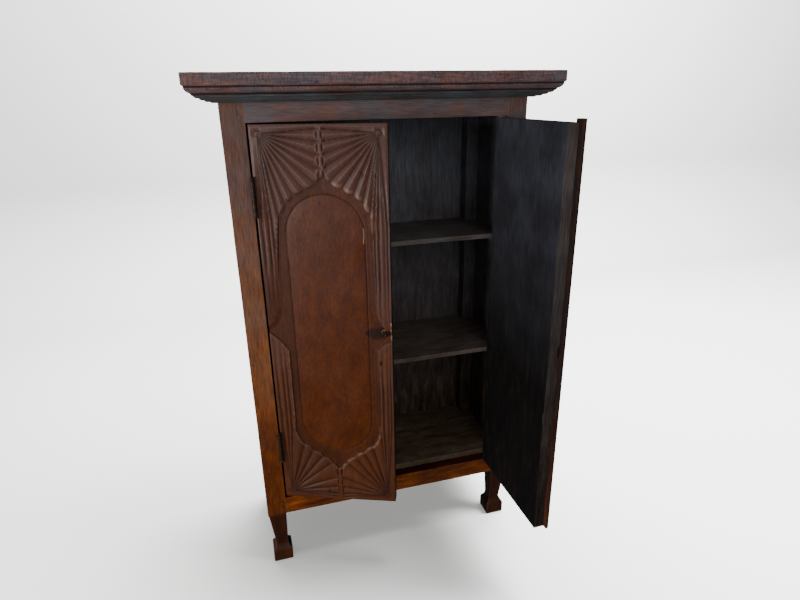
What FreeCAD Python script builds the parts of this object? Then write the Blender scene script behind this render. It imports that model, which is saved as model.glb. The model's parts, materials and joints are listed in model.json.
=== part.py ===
import FreeCAD, Part
import math
import os

# A two-door cupboard of joined hardwood planks. X runs to the right along the front, Y runs
# into the case and Z is up. Every size is in millimetres.
# The pieces are drawn with the post fronts at Y = 0 and the doors closed. Each door is then
# swung to its resting angle, and the whole cupboard is moved so that the origin lies on the
# floor, under the middle of its box.

# Case
CASE_WIDTH = 900.0
CASE_DEPTH = 376.0
POST_SIDE = 65.0
POST_TOP_Z = 1555.0

# Legs and feet, cut on the lower ends of the posts
SHOULDER_Z = 204.0
SHOULDER_DROP = 6.0
LEG_TOP_SIDE = 60.0
LEG_LOW_SIDE = 40.0
FOOT_SIDE = 67.0
FOOT_FACE_HEIGHT = 46.0
FOOT_HEIGHT = 64.0
FOOT_CHAMFER = 3.0
FOOT_INSET = 6.0

# Rails and their tenons
TOP_RAIL_HEIGHT = 54.0
LOW_RAIL_HEIGHT = 64.0
FRONT_TOP_RAIL_DEPTH = 40.0
FRONT_LOW_RAIL_DEPTH = 50.0
SIDE_RAIL_THICK = 35.0
REAR_RAIL_THICK = 25.0
TENON_LENGTH = 30.0
TENON_THICK = 12.0
TENON_SHOULDER = 8.0
TENON_SETBACK = 12.0

# Side panels and back boards
PANEL_INSET = 9.0
PANEL_THICK = 12.0
PANEL_TONGUE = 8.0
BACK_THICK = 14.0
BACK_REBATE = 12.0
BACK_END_MARGIN = 4.0
BACK_BOARD_COUNT = 5

# Floor, shelves and top
BOARD_GAP = 1.0
BOARD_CLEARANCE = 0.5
FLOOR_THICK = 22.0
FLOOR_BOARD_COUNT = 3
DOOR_STOP_GAP = 1.0
SHELF_THICK = 17.0
UPPER_SHELF_Z = 1119.0
LOWER_SHELF_Z = 716.0
UPPER_SHELF_SETBACK = 82.0
LOWER_SHELF_SETBACK = 38.0
BEARER_WIDTH = 20.0
BEARER_HEIGHT = 25.0
TOP_BOARD_THICK = 18.0
TOP_BOARD_COUNT = 3

# Cornice. The reed shares give the corners of its underside, as shares of its projection
# and of the drop from the upright face to its foot. The bulge share rounds each reed.
CORNICE_PROJECTION = 80.0
CORNICE_HEIGHT = 71.0
CORNICE_FACE_HEIGHT = 26.0
CORNICE_SEAT = 30.0
REED_CORNER_SHARES = (
    (0.06, 0.0), (0.24, 0.04), (0.40, 0.12), (0.55, 0.24), (0.70, 0.36),
    (0.76, 0.49), (0.94, 0.86), (1.0, 1.0),
)
REED_BULGE_SHARE = 0.2

# Pegs through the tenons, and nails
PEG_RADIUS = 4.0
PEG_LENGTH = 32.0
PEG_PROUD = 1.0
PEG_SPACING = 24.0
PEG_EDGE = 14.0
NAIL_HEAD_RADIUS = 3.0
NAIL_HEAD_THICK = 1.2
NAIL_SHANK_RADIUS = 1.3
NAIL_LENGTH = 26.0
NAIL_END_MARGIN = 22.0
NAIL_SIDE_MARGIN = 30.0

# Doors
DOOR_THICK = 34.0
DOOR_SIDE_GAP = 2.0
DOOR_TOP_GAP = 4.0
DOOR_BOTTOM_GAP = 10.0
DOOR_CENTRE_GAP = 10.0
LEFT_REST_DEG = 21.75
RIGHT_REST_DEG = 91.3

# Carving of the door fronts. Heights are taken from the door's lower edge, and widths from
# its upright centre line. The sunk field has an arched head, a round foot and a waist that
# runs out to the door's edges.
FIELD_DEPTH = 4.0
FIELD_BORDER = 54.0
WAIST_Z = 617.0
WAIST_MOUTH = 15.0
WAIST_RISE = 82.0
WAIST_FALL = 58.0
WAIST_BEND_SHARE = 0.62
BAR_HALF_WIDTH = 6.0
HEAD_APEX_Z = 1078.0
HEAD_SPRING_Z = 947.0
FOOT_APEX_Z = 126.0
FOOT_SPRING_Z = 271.0
# Cusps between the ends of the rays, as shares of the field's half width and of the height
# from where the arch springs to its apex.
HEAD_CUSP_SHARES = ((0.16, 0.91), (0.41, 0.78), (0.64, 0.65), (0.83, 0.49), (0.97, 0.23))
FOOT_CUSP_SHARES = ((0.17, 0.88), (0.38, 0.70), (0.62, 0.56), (0.84, 0.40))
SCALLOP_BULGE_SHARE = 0.16
LINE_INSET = 21.0
LINE_TOP_Z = 1033.0
LINE_BOTTOM_Z = 195.0
LINE_WIDTH = 3.0
LINE_DEPTH = 1.5
GROOVE_DEPTH = 3.5
GROOVE_WIDTH = 4.5
GROOVE_TIP_WIDTH = 1.2
GROOVE_STOP = 5.0
FAN_INSET = 22.0
FAN_HUB_RADIUS = 26.0
BAR_END_MARGIN = 7.0
HEAD_BAR_DROPS = (44.0, 79.0, 116.0)
FOOT_BAR_RISES = (20.0, 48.0, 86.0)
REED_OFFSETS = (16.0, 30.0, 43.0)

# Cover strip on the right door
STRIP_WIDTH = 30.0
STRIP_THICK = 12.0
STRIP_OVERHANG = 14.0
STRIP_RELIEF = 0.6
STRIP_RISE = 9.0
STRIP_ROUND = 4.0

# Hinges
BARREL_RADIUS = 5.5
BARREL_LENGTH = 100.0
BARREL_PROUD = 1.0
KNUCKLE_GAP = 0.4
PIN_RADIUS = 3.0
PIN_CLEARANCE = 0.05
FINIAL_RADIUS = 5.0
FINIAL_NECK = 0.8
FINIAL_LIFT = 0.3
LEAF_THICK = 1.8
LEAF_DEPTH = 26.0
UPPER_HINGE_Z = 1300.0
LOWER_HINGE_Z = 476.0
SCREW_HEAD_RADIUS = 3.4
SCREW_HEAD_HEIGHT = 1.8
SCREW_SHANK_RADIUS = 1.7
SCREW_LENGTH = 18.0
SCREW_SPACING = 34.0
SCREW_COUNT = 3

# Lock in the free edge of the left door
LOCK_Z = 903.0
LOCK_CASE_HEIGHT = 70.0
LOCK_CASE_DEPTH = 42.0
LOCK_CASE_THICK = 14.0
LOCK_WALL = 1.5
FOREND_HEIGHT = 84.0
FOREND_WIDTH = 20.0
FOREND_THICK = 2.5
BOLT_HEIGHT = 22.0
BOLT_THICK = 4.0
BOLT_THROW = 15.0
BOLT_CLEARANCE = 0.3
BOLT_TAIL_GAP = 3.0
KNOB_BACKSET = 22.0
KNOB_DROP = 6.0
KNOB_TURN_DEG = 90.0
SPINDLE_RADIUS = 3.0
SPINDLE_CLEARANCE = 0.4
CRANK_THICK = 3.0
CRANK_HUB_RADIUS = 5.0
CRANK_PIN_RADIUS = 2.0
CRANK_GAP = 0.4
SLOT_CLEARANCE = 0.6
ROSE_RADIUS = 11.0
ROSE_THICK = 2.0
ROSE_ROUND = 1.2
KNOB_NECK_RADIUS = 5.0
KNOB_NECK_LENGTH = 6.0
KNOB_RADIUS = 10.0
KNOB_THICK = 9.0
KNOB_ROUND = 3.0
KNOB_DISH_RADIUS = 5.0
KNOB_DISH_DEPTH = 1.6
KNOB_GAP = 0.4
STRIKE_DEPTH = 9.0
STRIKE_MARGIN = 1.5

# One overrun serves every cut.
OVERRUN = 1.0

# Places worked out from the sizes above
HALF_WIDTH = CASE_WIDTH / 2
OPENING_HALF = HALF_WIDTH - POST_SIDE
TOP_RAIL_Z = POST_TOP_Z - TOP_RAIL_HEIGHT
LOW_RAIL_TOP_Z = SHOULDER_Z + LOW_RAIL_HEIGHT
BACK_Y = CASE_DEPTH - BACK_THICK
REAR_POST_Y = CASE_DEPTH - POST_SIDE
PANEL_OUTER_X = HALF_WIDTH - PANEL_INSET
PANEL_INNER_X = PANEL_OUTER_X - PANEL_THICK
FLOOR_FRONT_Y = DOOR_THICK + DOOR_STOP_GAP
FLOOR_TOP_Z = LOW_RAIL_TOP_Z + FLOOR_THICK
DOOR_WIDTH = OPENING_HALF - DOOR_SIDE_GAP - DOOR_CENTRE_GAP / 2
DOOR_LOW_Z = LOW_RAIL_TOP_Z + DOOR_BOTTOM_GAP
DOOR_HEIGHT = TOP_RAIL_Z - DOOR_TOP_GAP - DOOR_LOW_Z
DOOR_HINGE_X = OPENING_HALF - DOOR_SIDE_GAP
DOOR_FREE_X = DOOR_HINGE_X - DOOR_WIDTH
FIELD_HALF_WIDTH = DOOR_WIDTH / 2 - FIELD_BORDER
LINE_HALF_WIDTH = FIELD_HALF_WIDTH - LINE_INSET
AXIS_X = OPENING_HALF - DOOR_SIDE_GAP / 2
AXIS_Y = -BARREL_RADIUS - BARREL_PROUD
LOCK_Y = DOOR_THICK / 2
KNOB_X = DOOR_FREE_X + KNOB_BACKSET
KNOB_Z = LOCK_Z - KNOB_DROP
HALF_TURN = math.radians(KNOB_TURN_DEG / 2)
CRANK_RADIUS = BOLT_THROW / 2 / math.sin(HALF_TURN)

UP = FreeCAD.Vector(0, 0, 1)
LEFT = -1
RIGHT = 1


def vec(x, y, z):
    return FreeCAD.Vector(x, y, z)


def box(x_range, y_range, z_range):
    """A box between two limits on each axis, given in any order."""
    x0, x1 = sorted(x_range)
    y0, y1 = sorted(y_range)
    z0, z1 = sorted(z_range)
    return Part.makeBox(x1 - x0, y1 - y0, z1 - z0, vec(x0, y0, z0))


def rod(radius, start, direction, length):
    return Part.makeCylinder(radius, length, start, direction)


def prism(points, travel):
    """A closed outline of points, pushed along a vector into a solid."""
    wire = Part.makePolygon(list(points) + [points[0]])
    return Part.Face(wire).extrude(travel)


def mirrored(shape):
    return shape.mirror(vec(0, 0, 0), vec(1, 0, 0))


def square_ring(centre_x, centre_y, side, z):
    half = side / 2
    corners = [(-half, -half), (half, -half), (half, half), (-half, half)]
    points = [vec(centre_x + dx, centre_y + dy, z) for dx, dy in corners]
    return Part.makePolygon(points + [points[0]])


def post_blank(side, centre_y, foot_y):
    """One post with its leg and block foot, worked from a single length of timber."""
    x = side * (HALF_WIDTH - POST_SIDE / 2)
    foot_x = x - side * FOOT_INSET
    rings = [
        square_ring(foot_x, foot_y, FOOT_SIDE - 2 * FOOT_CHAMFER, 0),
        square_ring(foot_x, foot_y, FOOT_SIDE, FOOT_CHAMFER),
        square_ring(foot_x, foot_y, FOOT_SIDE, FOOT_FACE_HEIGHT),
        square_ring(foot_x, foot_y, LEG_LOW_SIDE, FOOT_HEIGHT),
        square_ring(x, centre_y, LEG_TOP_SIDE, SHOULDER_Z - SHOULDER_DROP),
        square_ring(x, centre_y, POST_SIDE, SHOULDER_Z),
        square_ring(x, centre_y, POST_SIDE, POST_TOP_Z),
    ]
    return Part.makeLoft(rings, True, True)


def cross_rail(y_range, z_range, tenon_y):
    """A rail across the case, from post to post, with a tenon at each end."""
    body = box((-OPENING_HALF, OPENING_HALF), y_range, z_range)
    reach = OPENING_HALF + TENON_LENGTH
    tenon_z = (z_range[0] + TENON_SHOULDER, z_range[1] - TENON_SHOULDER)
    tenon = box((-reach, reach), (tenon_y, tenon_y + TENON_THICK), tenon_z)
    return body.fuse(tenon).removeSplitter()


def side_rail(side, z_range):
    """A rail from front post to rear post. Its tenons lie in line with the side panel."""
    inner = HALF_WIDTH - SIDE_RAIL_THICK
    body = box((side * inner, side * HALF_WIDTH), (POST_SIDE, REAR_POST_Y), z_range)
    tenon_x = (side * PANEL_INNER_X, side * PANEL_OUTER_X)
    tenon_y = (POST_SIDE - TENON_LENGTH, REAR_POST_Y + TENON_LENGTH)
    tenon_z = (z_range[0] + TENON_SHOULDER, z_range[1] - TENON_SHOULDER)
    return body.fuse(box(tenon_x, tenon_y, tenon_z)).removeSplitter()


def side_panel(side):
    x_range = (side * PANEL_INNER_X, side * PANEL_OUTER_X)
    y_range = (POST_SIDE - PANEL_TONGUE, REAR_POST_Y + PANEL_TONGUE)
    z_range = (LOW_RAIL_TOP_Z - PANEL_TONGUE, TOP_RAIL_Z + PANEL_TONGUE)
    return box(x_range, y_range, z_range)


def split_span(start, end, count):
    """Limits of boards laid side by side between two places, with a gap between them."""
    width = (end - start - (count - 1) * BOARD_GAP) / count
    return [(start + i * (width + BOARD_GAP), start + i * (width + BOARD_GAP) + width)
            for i in range(count)]


def back_spans():
    reach = OPENING_HALF + BACK_REBATE
    return split_span(-reach, reach, BACK_BOARD_COUNT)


def back_z_range():
    return (SHOULDER_Z + BACK_END_MARGIN, POST_TOP_Z - BACK_END_MARGIN)


def post_rooms(clearance):
    """The space of the four posts inside the case, with room round it, to notch boards."""
    inner = OPENING_HALF - clearance
    rooms = []
    for side in (LEFT, RIGHT):
        x_range = (side * inner, side * HALF_WIDTH)
        rooms.append(box(x_range, (0, POST_SIDE + clearance), (0, POST_TOP_Z)))
        rooms.append(box(x_range, (REAR_POST_Y - clearance, CASE_DEPTH), (0, POST_TOP_Z)))
    return rooms


def inner_board(y_range, z_range):
    """A board across the inside, notched round the posts and free of the panels."""
    reach = PANEL_INNER_X - BOARD_CLEARANCE
    return box((-reach, reach), y_range, z_range).cut(post_rooms(BOARD_CLEARANCE))


def floor_boards():
    spans = split_span(FLOOR_FRONT_Y, BACK_Y - BOARD_CLEARANCE, FLOOR_BOARD_COUNT)
    return [inner_board(span, (LOW_RAIL_TOP_Z, FLOOR_TOP_Z)) for span in spans]


def shelf(top_z, setback):
    return inner_board((setback, BACK_Y - BOARD_CLEARANCE), (top_z - SHELF_THICK, top_z))


def shelf_bearer(side, shelf_top_z):
    z_top = shelf_top_z - SHELF_THICK
    x_range = (side * (PANEL_INNER_X - BEARER_WIDTH), side * PANEL_INNER_X)
    return box(x_range, (POST_SIDE, REAR_POST_Y), (z_top - BEARER_HEIGHT, z_top))


def top_boards():
    reach = HALF_WIDTH - CORNICE_SEAT - BOARD_CLEARANCE
    spans = split_span(CORNICE_SEAT + BOARD_CLEARANCE, CASE_DEPTH, TOP_BOARD_COUNT)
    z_range = (POST_TOP_Z, POST_TOP_Z + TOP_BOARD_THICK)
    return [box((-reach, reach), span, z_range) for span in spans]


def bulged_edge(start, end, centre, bulge):
    """An arc from start to end that swells away from a centre by a share of its length."""
    middle = (start + end) * 0.5
    chord = end - start
    across = vec(-chord.z, chord.y, chord.x)
    if across.dot(middle - centre) < 0:
        across = across * -1
    return Part.Arc(start, middle + across * bulge, end).toShape()


def cornice_section():
    """The moulding's section in the XZ plane, projecting towards +X from X = 0."""
    drop = CORNICE_HEIGHT - CORNICE_FACE_HEIGHT
    inner = vec(-CORNICE_SEAT, 0, POST_TOP_Z)
    corners = [vec(out * CORNICE_PROJECTION, 0, POST_TOP_Z + rise * drop)
               for out, rise in REED_CORNER_SHARES]
    top_out = vec(CORNICE_PROJECTION, 0, POST_TOP_Z + CORNICE_HEIGHT)
    top_in = vec(-CORNICE_SEAT, 0, POST_TOP_Z + CORNICE_HEIGHT)
    edges = [Part.makeLine(inner, corners[0])]
    for start, end in zip(corners, corners[1:]):
        edges.append(bulged_edge(start, end, top_in, REED_BULGE_SHARE))
    edges.append(Part.makeLine(corners[-1], top_out))
    edges.append(Part.makeLine(top_out, top_in))
    edges.append(Part.makeLine(top_in, inner))
    return Part.Face(Part.Wire(edges))


def cornice_reach():
    """A length that runs past the widest part of the cornice."""
    return HALF_WIDTH + CORNICE_PROJECTION + OVERRUN


def cornice_front():
    """The front moulding, cut to a mitre at both ends."""
    reach = cornice_reach()
    section = cornice_section()
    section.rotate(vec(0, 0, 0), UP, -90)
    section.translate(vec(-reach, 0, 0))
    length = section.extrude(vec(2 * reach, 0, 0))
    inner = HALF_WIDTH - CORNICE_SEAT
    outer = HALF_WIDTH + CORNICE_PROJECTION + OVERRUN
    plan = [vec(-inner, CORNICE_SEAT, 0), vec(-outer, -CORNICE_PROJECTION - OVERRUN, 0),
            vec(outer, -CORNICE_PROJECTION - OVERRUN, 0), vec(inner, CORNICE_SEAT, 0)]
    return length.common(prism(plan, vec(0, 0, POST_TOP_Z + CORNICE_HEIGHT + OVERRUN)))


def cornice_right():
    """The right-hand moulding, mitred in front and square at the back."""
    section = cornice_section()
    section.translate(vec(HALF_WIDTH, -cornice_reach(), 0))
    length = section.extrude(vec(0, cornice_reach() + CASE_DEPTH, 0))
    inner = HALF_WIDTH - CORNICE_SEAT
    outer = HALF_WIDTH + CORNICE_PROJECTION + OVERRUN
    plan = [vec(inner, CORNICE_SEAT, 0), vec(outer, -CORNICE_PROJECTION - OVERRUN, 0),
            vec(outer, CASE_DEPTH, 0), vec(inner, CASE_DEPTH, 0)]
    return length.common(prism(plan, vec(0, 0, POST_TOP_Z + CORNICE_HEIGHT + OVERRUN)))


def peg(x, y, z, direction):
    """A round peg whose head stands a little proud of the face that it is driven into."""
    start = vec(x, y, z) - direction * PEG_PROUD
    return rod(PEG_RADIUS, start, direction, PEG_LENGTH + PEG_PROUD)


def rail_middles():
    return ((SHOULDER_Z + LOW_RAIL_TOP_Z) / 2, (TOP_RAIL_Z + POST_TOP_Z) / 2)


def front_pegs():
    x = OPENING_HALF + PEG_EDGE
    return [peg(side * x, 0, z + step * PEG_SPACING / 2, vec(0, 1, 0))
            for side in (LEFT, RIGHT) for z in rail_middles() for step in (-1, 1)]


def side_pegs(side):
    places = (POST_SIDE - PEG_EDGE, REAR_POST_Y + PEG_EDGE)
    return [peg(side * HALF_WIDTH, y, z + step * PEG_SPACING / 2, vec(-side, 0, 0))
            for y in places for z in rail_middles() for step in (-1, 1)]


def nail(point, direction):
    """A nail whose head sits flush, given the centre of its head's outer face."""
    head = rod(NAIL_HEAD_RADIUS, point, direction, NAIL_HEAD_THICK)
    return head.fuse(rod(NAIL_SHANK_RADIUS, point, direction, NAIL_LENGTH))


def back_nails():
    low_z = SHOULDER_Z + LOW_RAIL_HEIGHT / 2
    high_z = TOP_RAIL_Z + TOP_RAIL_HEIGHT / 2
    places = []
    for start, end in back_spans():
        places += [start + NAIL_SIDE_MARGIN, end - NAIL_SIDE_MARGIN]
    return [nail(vec(x, CASE_DEPTH, z), vec(0, -1, 0)) for x in places
            for z in (low_z, high_z)]


def bearer_nails():
    """Two nails through each shelf bearer, into the side panel behind it."""
    nails = []
    for side in (LEFT, RIGHT):
        x = side * (PANEL_INNER_X - BEARER_WIDTH)
        for top_z in (UPPER_SHELF_Z, LOWER_SHELF_Z):
            z = top_z - SHELF_THICK - BEARER_HEIGHT / 2
            for y in (POST_SIDE + NAIL_SIDE_MARGIN, REAR_POST_Y - NAIL_SIDE_MARGIN):
                nails.append(nail(vec(x, y, z), vec(side, 0, 0)))
    return nails


def on_front(u, z):
    """A point on the front of the closed right door, u from its centre line to the hinge
    side, z from its lower edge."""
    return vec(DOOR_FREE_X + DOOR_WIDTH / 2 + u, 0, DOOR_LOW_Z + z)


def head_cusps():
    rise = HEAD_APEX_Z - HEAD_SPRING_Z
    return [(w * FIELD_HALF_WIDTH, HEAD_SPRING_Z + h * rise) for w, h in HEAD_CUSP_SHARES]


def foot_cusps():
    fall = FOOT_SPRING_Z - FOOT_APEX_Z
    return [(w * FIELD_HALF_WIDTH, FOOT_SPRING_Z - h * fall) for w, h in FOOT_CUSP_SHARES]


def waist_edges(side):
    """The two reversed curves by which the field widens to the door's edge at its waist,
    from top to bottom, on one side of the centre line."""
    edge = DOOR_WIDTH / 2 + OVERRUN
    bend = FIELD_HALF_WIDTH + (DOOR_WIDTH / 2 - FIELD_HALF_WIDTH) * WAIST_BEND_SHARE
    knee = (FIELD_HALF_WIDTH + bend) / 2
    edges = []
    for sign, reach in ((1, WAIST_RISE), (-1, WAIST_FALL)):
        mouth = WAIST_Z + sign * WAIST_MOUTH / 2
        start = on_front(side * FIELD_HALF_WIDTH, mouth + sign * reach)
        turn = on_front(side * knee, mouth + sign * reach / 3)
        tip = on_front(side * bend, mouth + sign * reach / 12)
        end = on_front(side * edge, mouth)
        curve = Part.BSplineCurve()
        curve.interpolate([start, turn, tip, end])
        edges.append(curve.toShape())
    upper, lower = edges
    top_end = on_front(side * edge, WAIST_Z + WAIST_MOUTH / 2)
    low_end = on_front(side * edge, WAIST_Z - WAIST_MOUTH / 2)
    return [upper, Part.makeLine(top_end, low_end), lower]


def field_outline():
    """The edge of the sunk field, from its apex down one side and up the other."""
    centre = on_front(0, WAIST_Z)
    edges = []
    for side in (LEFT, RIGHT):
        head = [on_front(side * BAR_HALF_WIDTH, HEAD_APEX_Z)]
        head += [on_front(side * u, z) for u, z in head_cusps()]
        head += [on_front(side * FIELD_HALF_WIDTH, HEAD_SPRING_Z)]
        foot = [on_front(side * FIELD_HALF_WIDTH, FOOT_SPRING_Z)]
        foot += [on_front(side * u, z) for u, z in reversed(foot_cusps())]
        foot += [on_front(side * BAR_HALF_WIDTH, FOOT_APEX_Z)]
        for run in (head, foot):
            for start, end in zip(run, run[1:]):
                edges.append(bulged_edge(end, start, centre, -SCALLOP_BULGE_SHARE))
        waist_top = WAIST_Z + WAIST_MOUTH / 2 + WAIST_RISE
        waist_low = WAIST_Z - WAIST_MOUTH / 2 - WAIST_FALL
        edges.append(Part.makeLine(head[-1], on_front(side * FIELD_HALF_WIDTH, waist_top)))
        edges += waist_edges(side)
        edges.append(Part.makeLine(on_front(side * FIELD_HALF_WIDTH, waist_low), foot[0]))
    for z in (HEAD_APEX_Z, FOOT_APEX_Z):
        edges.append(Part.makeLine(on_front(-BAR_HALF_WIDTH, z), on_front(BAR_HALF_WIDTH, z)))
    return Part.Wire(Part.__sortEdges__(edges))


def sunk_field():
    return Part.Face(field_outline()).extrude(vec(0, FIELD_DEPTH, 0))


def stadium(half_width, low_z, high_z):
    """A slot shape with round ends, as a solid as deep as the incised line."""
    low = low_z + half_width
    high = high_z - half_width
    left_low = on_front(-half_width, low)
    right_low = on_front(half_width, low)
    left_high = on_front(-half_width, high)
    right_high = on_front(half_width, high)
    edges = [
        Part.makeLine(left_low, left_high),
        Part.Arc(left_high, on_front(0, high_z), right_high).toShape(),
        Part.makeLine(right_high, right_low),
        Part.Arc(right_low, on_front(0, low_z), left_low).toShape(),
    ]
    return Part.Face(Part.Wire(edges)).extrude(vec(0, FIELD_DEPTH + LINE_DEPTH, 0))


def incised_line():
    outer = stadium(LINE_HALF_WIDTH, LINE_BOTTOM_Z, LINE_TOP_Z)
    inner = stadium(LINE_HALF_WIDTH - LINE_WIDTH, LINE_BOTTOM_Z + LINE_WIDTH,
                    LINE_TOP_Z - LINE_WIDTH)
    return outer.cut(inner)


def across_path(points, i):
    """The vector across a path at one of its points, long enough to keep a mitre's width."""
    ways = [(end - start).normalize() for start, end in zip(points, points[1:])]
    way_in = ways[max(i - 1, 0)]
    way_out = ways[min(i, len(ways) - 1)]
    along = (way_in + way_out).normalize()
    return vec(-along.z, 0, along.x) * (1 / along.dot(way_in))


def groove(points, widths):
    """A V-cut along a path on the door's front, with its own width at each point."""
    rise = vec(0, -OVERRUN, 0)
    sink = vec(0, GROOVE_DEPTH, 0)
    spread = (GROOVE_DEPTH + OVERRUN) / GROOVE_DEPTH
    rings = []
    for i, (point, width) in enumerate(zip(points, widths)):
        half = across_path(points, i) * (width / 2 * spread)
        corners = [point + rise - half, point + rise + half, point + sink]
        rings.append(Part.makePolygon(corners + [corners[0]]))
    return Part.makeLoft(rings, True, True)


def fan_hub(side, top):
    z = DOOR_HEIGHT - FAN_INSET if top else FAN_INSET
    return on_front(side * (DOOR_WIDTH / 2 - FAN_INSET), z)


def ray_ends(side, top):
    """Where the fan's short grooves end: first on the centre bar, then on the arch."""
    if top:
        bars = [DOOR_HEIGHT - drop for drop in HEAD_BAR_DROPS]
        cusps = head_cusps()[:-1]
    else:
        bars = list(FOOT_BAR_RISES)
        cusps = foot_cusps()
    ends = [on_front(side * (BAR_HALF_WIDTH + GROOVE_WIDTH / 2), z) for z in bars]
    return ends + [on_front(side * u, z) for u, z in cusps]


def reed_path(side, top, offset):
    """A long groove: slanting from the fan's hub, then upright beside the door's edge."""
    u = side * (DOOR_WIDTH / 2 - offset)
    if top:
        bend = on_front(u, HEAD_SPRING_Z)
        tip = on_front(u, WAIST_Z + WAIST_MOUTH / 2 + waist_height(offset, WAIST_RISE))
    else:
        bend = on_front(u, FOOT_SPRING_Z)
        tip = on_front(u, WAIST_Z - WAIST_MOUTH / 2 - waist_height(offset, WAIST_FALL))
    hub = fan_hub(side, top)
    start = hub + (bend - hub).normalize() * (FAN_HUB_RADIUS * 2)
    return [start, bend, tip]


def waist_height(offset, reach):
    """How far from the waist's mouth an upright groove ends, short of the curve."""
    share = offset / (DOOR_WIDTH / 2 - FIELD_HALF_WIDTH)
    return reach * (share * share) + GROOVE_WIDTH * 2


def fan_grooves(side, top):
    """The cuts between the rays of one fan. They stop just short of the field and the bar."""
    hub = fan_hub(side, top)
    cuts = []
    for end in ray_ends(side, top):
        way = (end - hub).normalize()
        path = [hub + way * FAN_HUB_RADIUS, end - way * GROOVE_STOP]
        cuts.append(groove(path, (GROOVE_TIP_WIDTH, GROOVE_WIDTH)))
    for offset in REED_OFFSETS:
        widths = (GROOVE_TIP_WIDTH, GROOVE_WIDTH, GROOVE_TIP_WIDTH)
        cuts.append(groove(reed_path(side, top, offset), widths))
    return cuts


def bar_grooves():
    """The cuts on both sides of the upright bars between the fans."""
    runs = ((HEAD_APEX_Z + GROOVE_STOP, DOOR_HEIGHT - BAR_END_MARGIN),
            (BAR_END_MARGIN, FOOT_APEX_Z - GROOVE_STOP))
    cuts = []
    for side in (LEFT, RIGHT):
        for low, high in runs:
            path = [on_front(side * BAR_HALF_WIDTH, low), on_front(side * BAR_HALF_WIDTH, high)]
            cuts.append(groove(path, (GROOVE_WIDTH, GROOVE_WIDTH)))
    return cuts


def carved_door():
    """The right door's board, closed, with its carved front."""
    x_range = (DOOR_FREE_X, DOOR_HINGE_X)
    board = box(x_range, (0, DOOR_THICK), (DOOR_LOW_Z, DOOR_LOW_Z + DOOR_HEIGHT))
    board = board.cut([sunk_field(), incised_line()])
    for side in (LEFT, RIGHT):
        for top in (True, False):
            for cut in fan_grooves(side, top):
                board = board.cut(cut)
    for cut in bar_grooves():
        board = board.cut(cut)
    return board


def cover_strip():
    """The strip on the right door's free edge, which laps over the left door."""
    left = DOOR_FREE_X - STRIP_OVERHANG
    right = left + STRIP_WIDTH
    low = DOOR_LOW_Z
    section = [
        vec(right, 0, low), vec(right, -STRIP_THICK + STRIP_ROUND, low),
        vec(right - STRIP_ROUND, -STRIP_THICK, low), vec(left + STRIP_ROUND, -STRIP_THICK, low),
        vec(left, -STRIP_THICK + STRIP_ROUND, low), vec(left, -STRIP_RELIEF, low),
        vec(DOOR_FREE_X, -STRIP_RELIEF, low), vec(DOOR_FREE_X, 0, low),
    ]
    return prism(section, vec(0, 0, DOOR_HEIGHT + STRIP_RISE))


def hinge_screw_places(z, x):
    """The centres of the screw heads on a hinge leaf whose face is at x."""
    first = z - SCREW_SPACING * (SCREW_COUNT - 1) / 2
    return [vec(x, LEAF_DEPTH / 2, first + i * SCREW_SPACING) for i in range(SCREW_COUNT)]


def screw(point, direction):
    """A countersunk screw, given the centre of its head's outer face."""
    head = Part.makeCone(SCREW_HEAD_RADIUS, SCREW_SHANK_RADIUS, SCREW_HEAD_HEIGHT, point,
                         direction)
    return head.fuse(rod(SCREW_SHANK_RADIUS, point, direction, SCREW_LENGTH))


def post_screws(z):
    return [screw(p, vec(1, 0, 0)) for p in hinge_screw_places(z, OPENING_HALF)]


def door_screws(z):
    return [screw(p, vec(-1, 0, 0)) for p in hinge_screw_places(z, DOOR_HINGE_X)]


def knuckle(z_low, z_high, hole_radius):
    barrel = rod(BARREL_RADIUS, vec(AXIS_X, AXIS_Y, z_low), UP, z_high - z_low)
    bore = rod(hole_radius, vec(AXIS_X, AXIS_Y, z_low - OVERRUN), UP,
               z_high - z_low + 2 * OVERRUN)
    return barrel, bore


def hinge_half(x_range, z, z_low, z_high, hole_radius):
    """A leaf let into the wood, with the knuckle that it is forged on."""
    barrel, bore = knuckle(z_low, z_high, hole_radius)
    leaf = box(x_range, (0, LEAF_DEPTH), (z - BARREL_LENGTH / 2, z + BARREL_LENGTH / 2))
    web = box(x_range, (AXIS_Y, 0), (z_low, z_high))
    return barrel.fuse([leaf, web]).cut(bore).removeSplitter()


def hinge_post_half(z):
    """The half on the right-hand post, with the lower knuckle."""
    half = hinge_half((OPENING_HALF, OPENING_HALF + LEAF_THICK), z, z - BARREL_LENGTH / 2,
                      z - KNUCKLE_GAP / 2, PIN_RADIUS)
    return half.cut(Part.makeCompound(post_screws(z)))


def hinge_door_half(z):
    """The half on the right door's edge, with the upper knuckle that turns on the pin."""
    half = hinge_half((DOOR_HINGE_X - LEAF_THICK, DOOR_HINGE_X), z, z + KNUCKLE_GAP / 2,
                      z + BARREL_LENGTH / 2, PIN_RADIUS + PIN_CLEARANCE)
    return half.cut(Part.makeCompound(door_screws(z)))


def hinge_pin(z):
    """The pin, with a ball finial at each end."""
    low = z - BARREL_LENGTH / 2
    high = z + BARREL_LENGTH / 2 + FINIAL_LIFT
    reach = FINIAL_RADIUS * FINIAL_NECK
    shaft = rod(PIN_RADIUS, vec(AXIS_X, AXIS_Y, low - reach), UP, high - low + 2 * reach)
    balls = []
    for end, way in ((low, -1), (high, 1)):
        ball = Part.makeSphere(FINIAL_RADIUS, vec(AXIS_X, AXIS_Y, end + way * reach))
        room = box((AXIS_X - FINIAL_RADIUS, AXIS_X + FINIAL_RADIUS),
                   (AXIS_Y - FINIAL_RADIUS, AXIS_Y + FINIAL_RADIUS),
                   (end, end + way * FINIAL_RADIUS * 2))
        balls.append(ball.common(room))
    return shaft.fuse(balls).removeSplitter()


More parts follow.
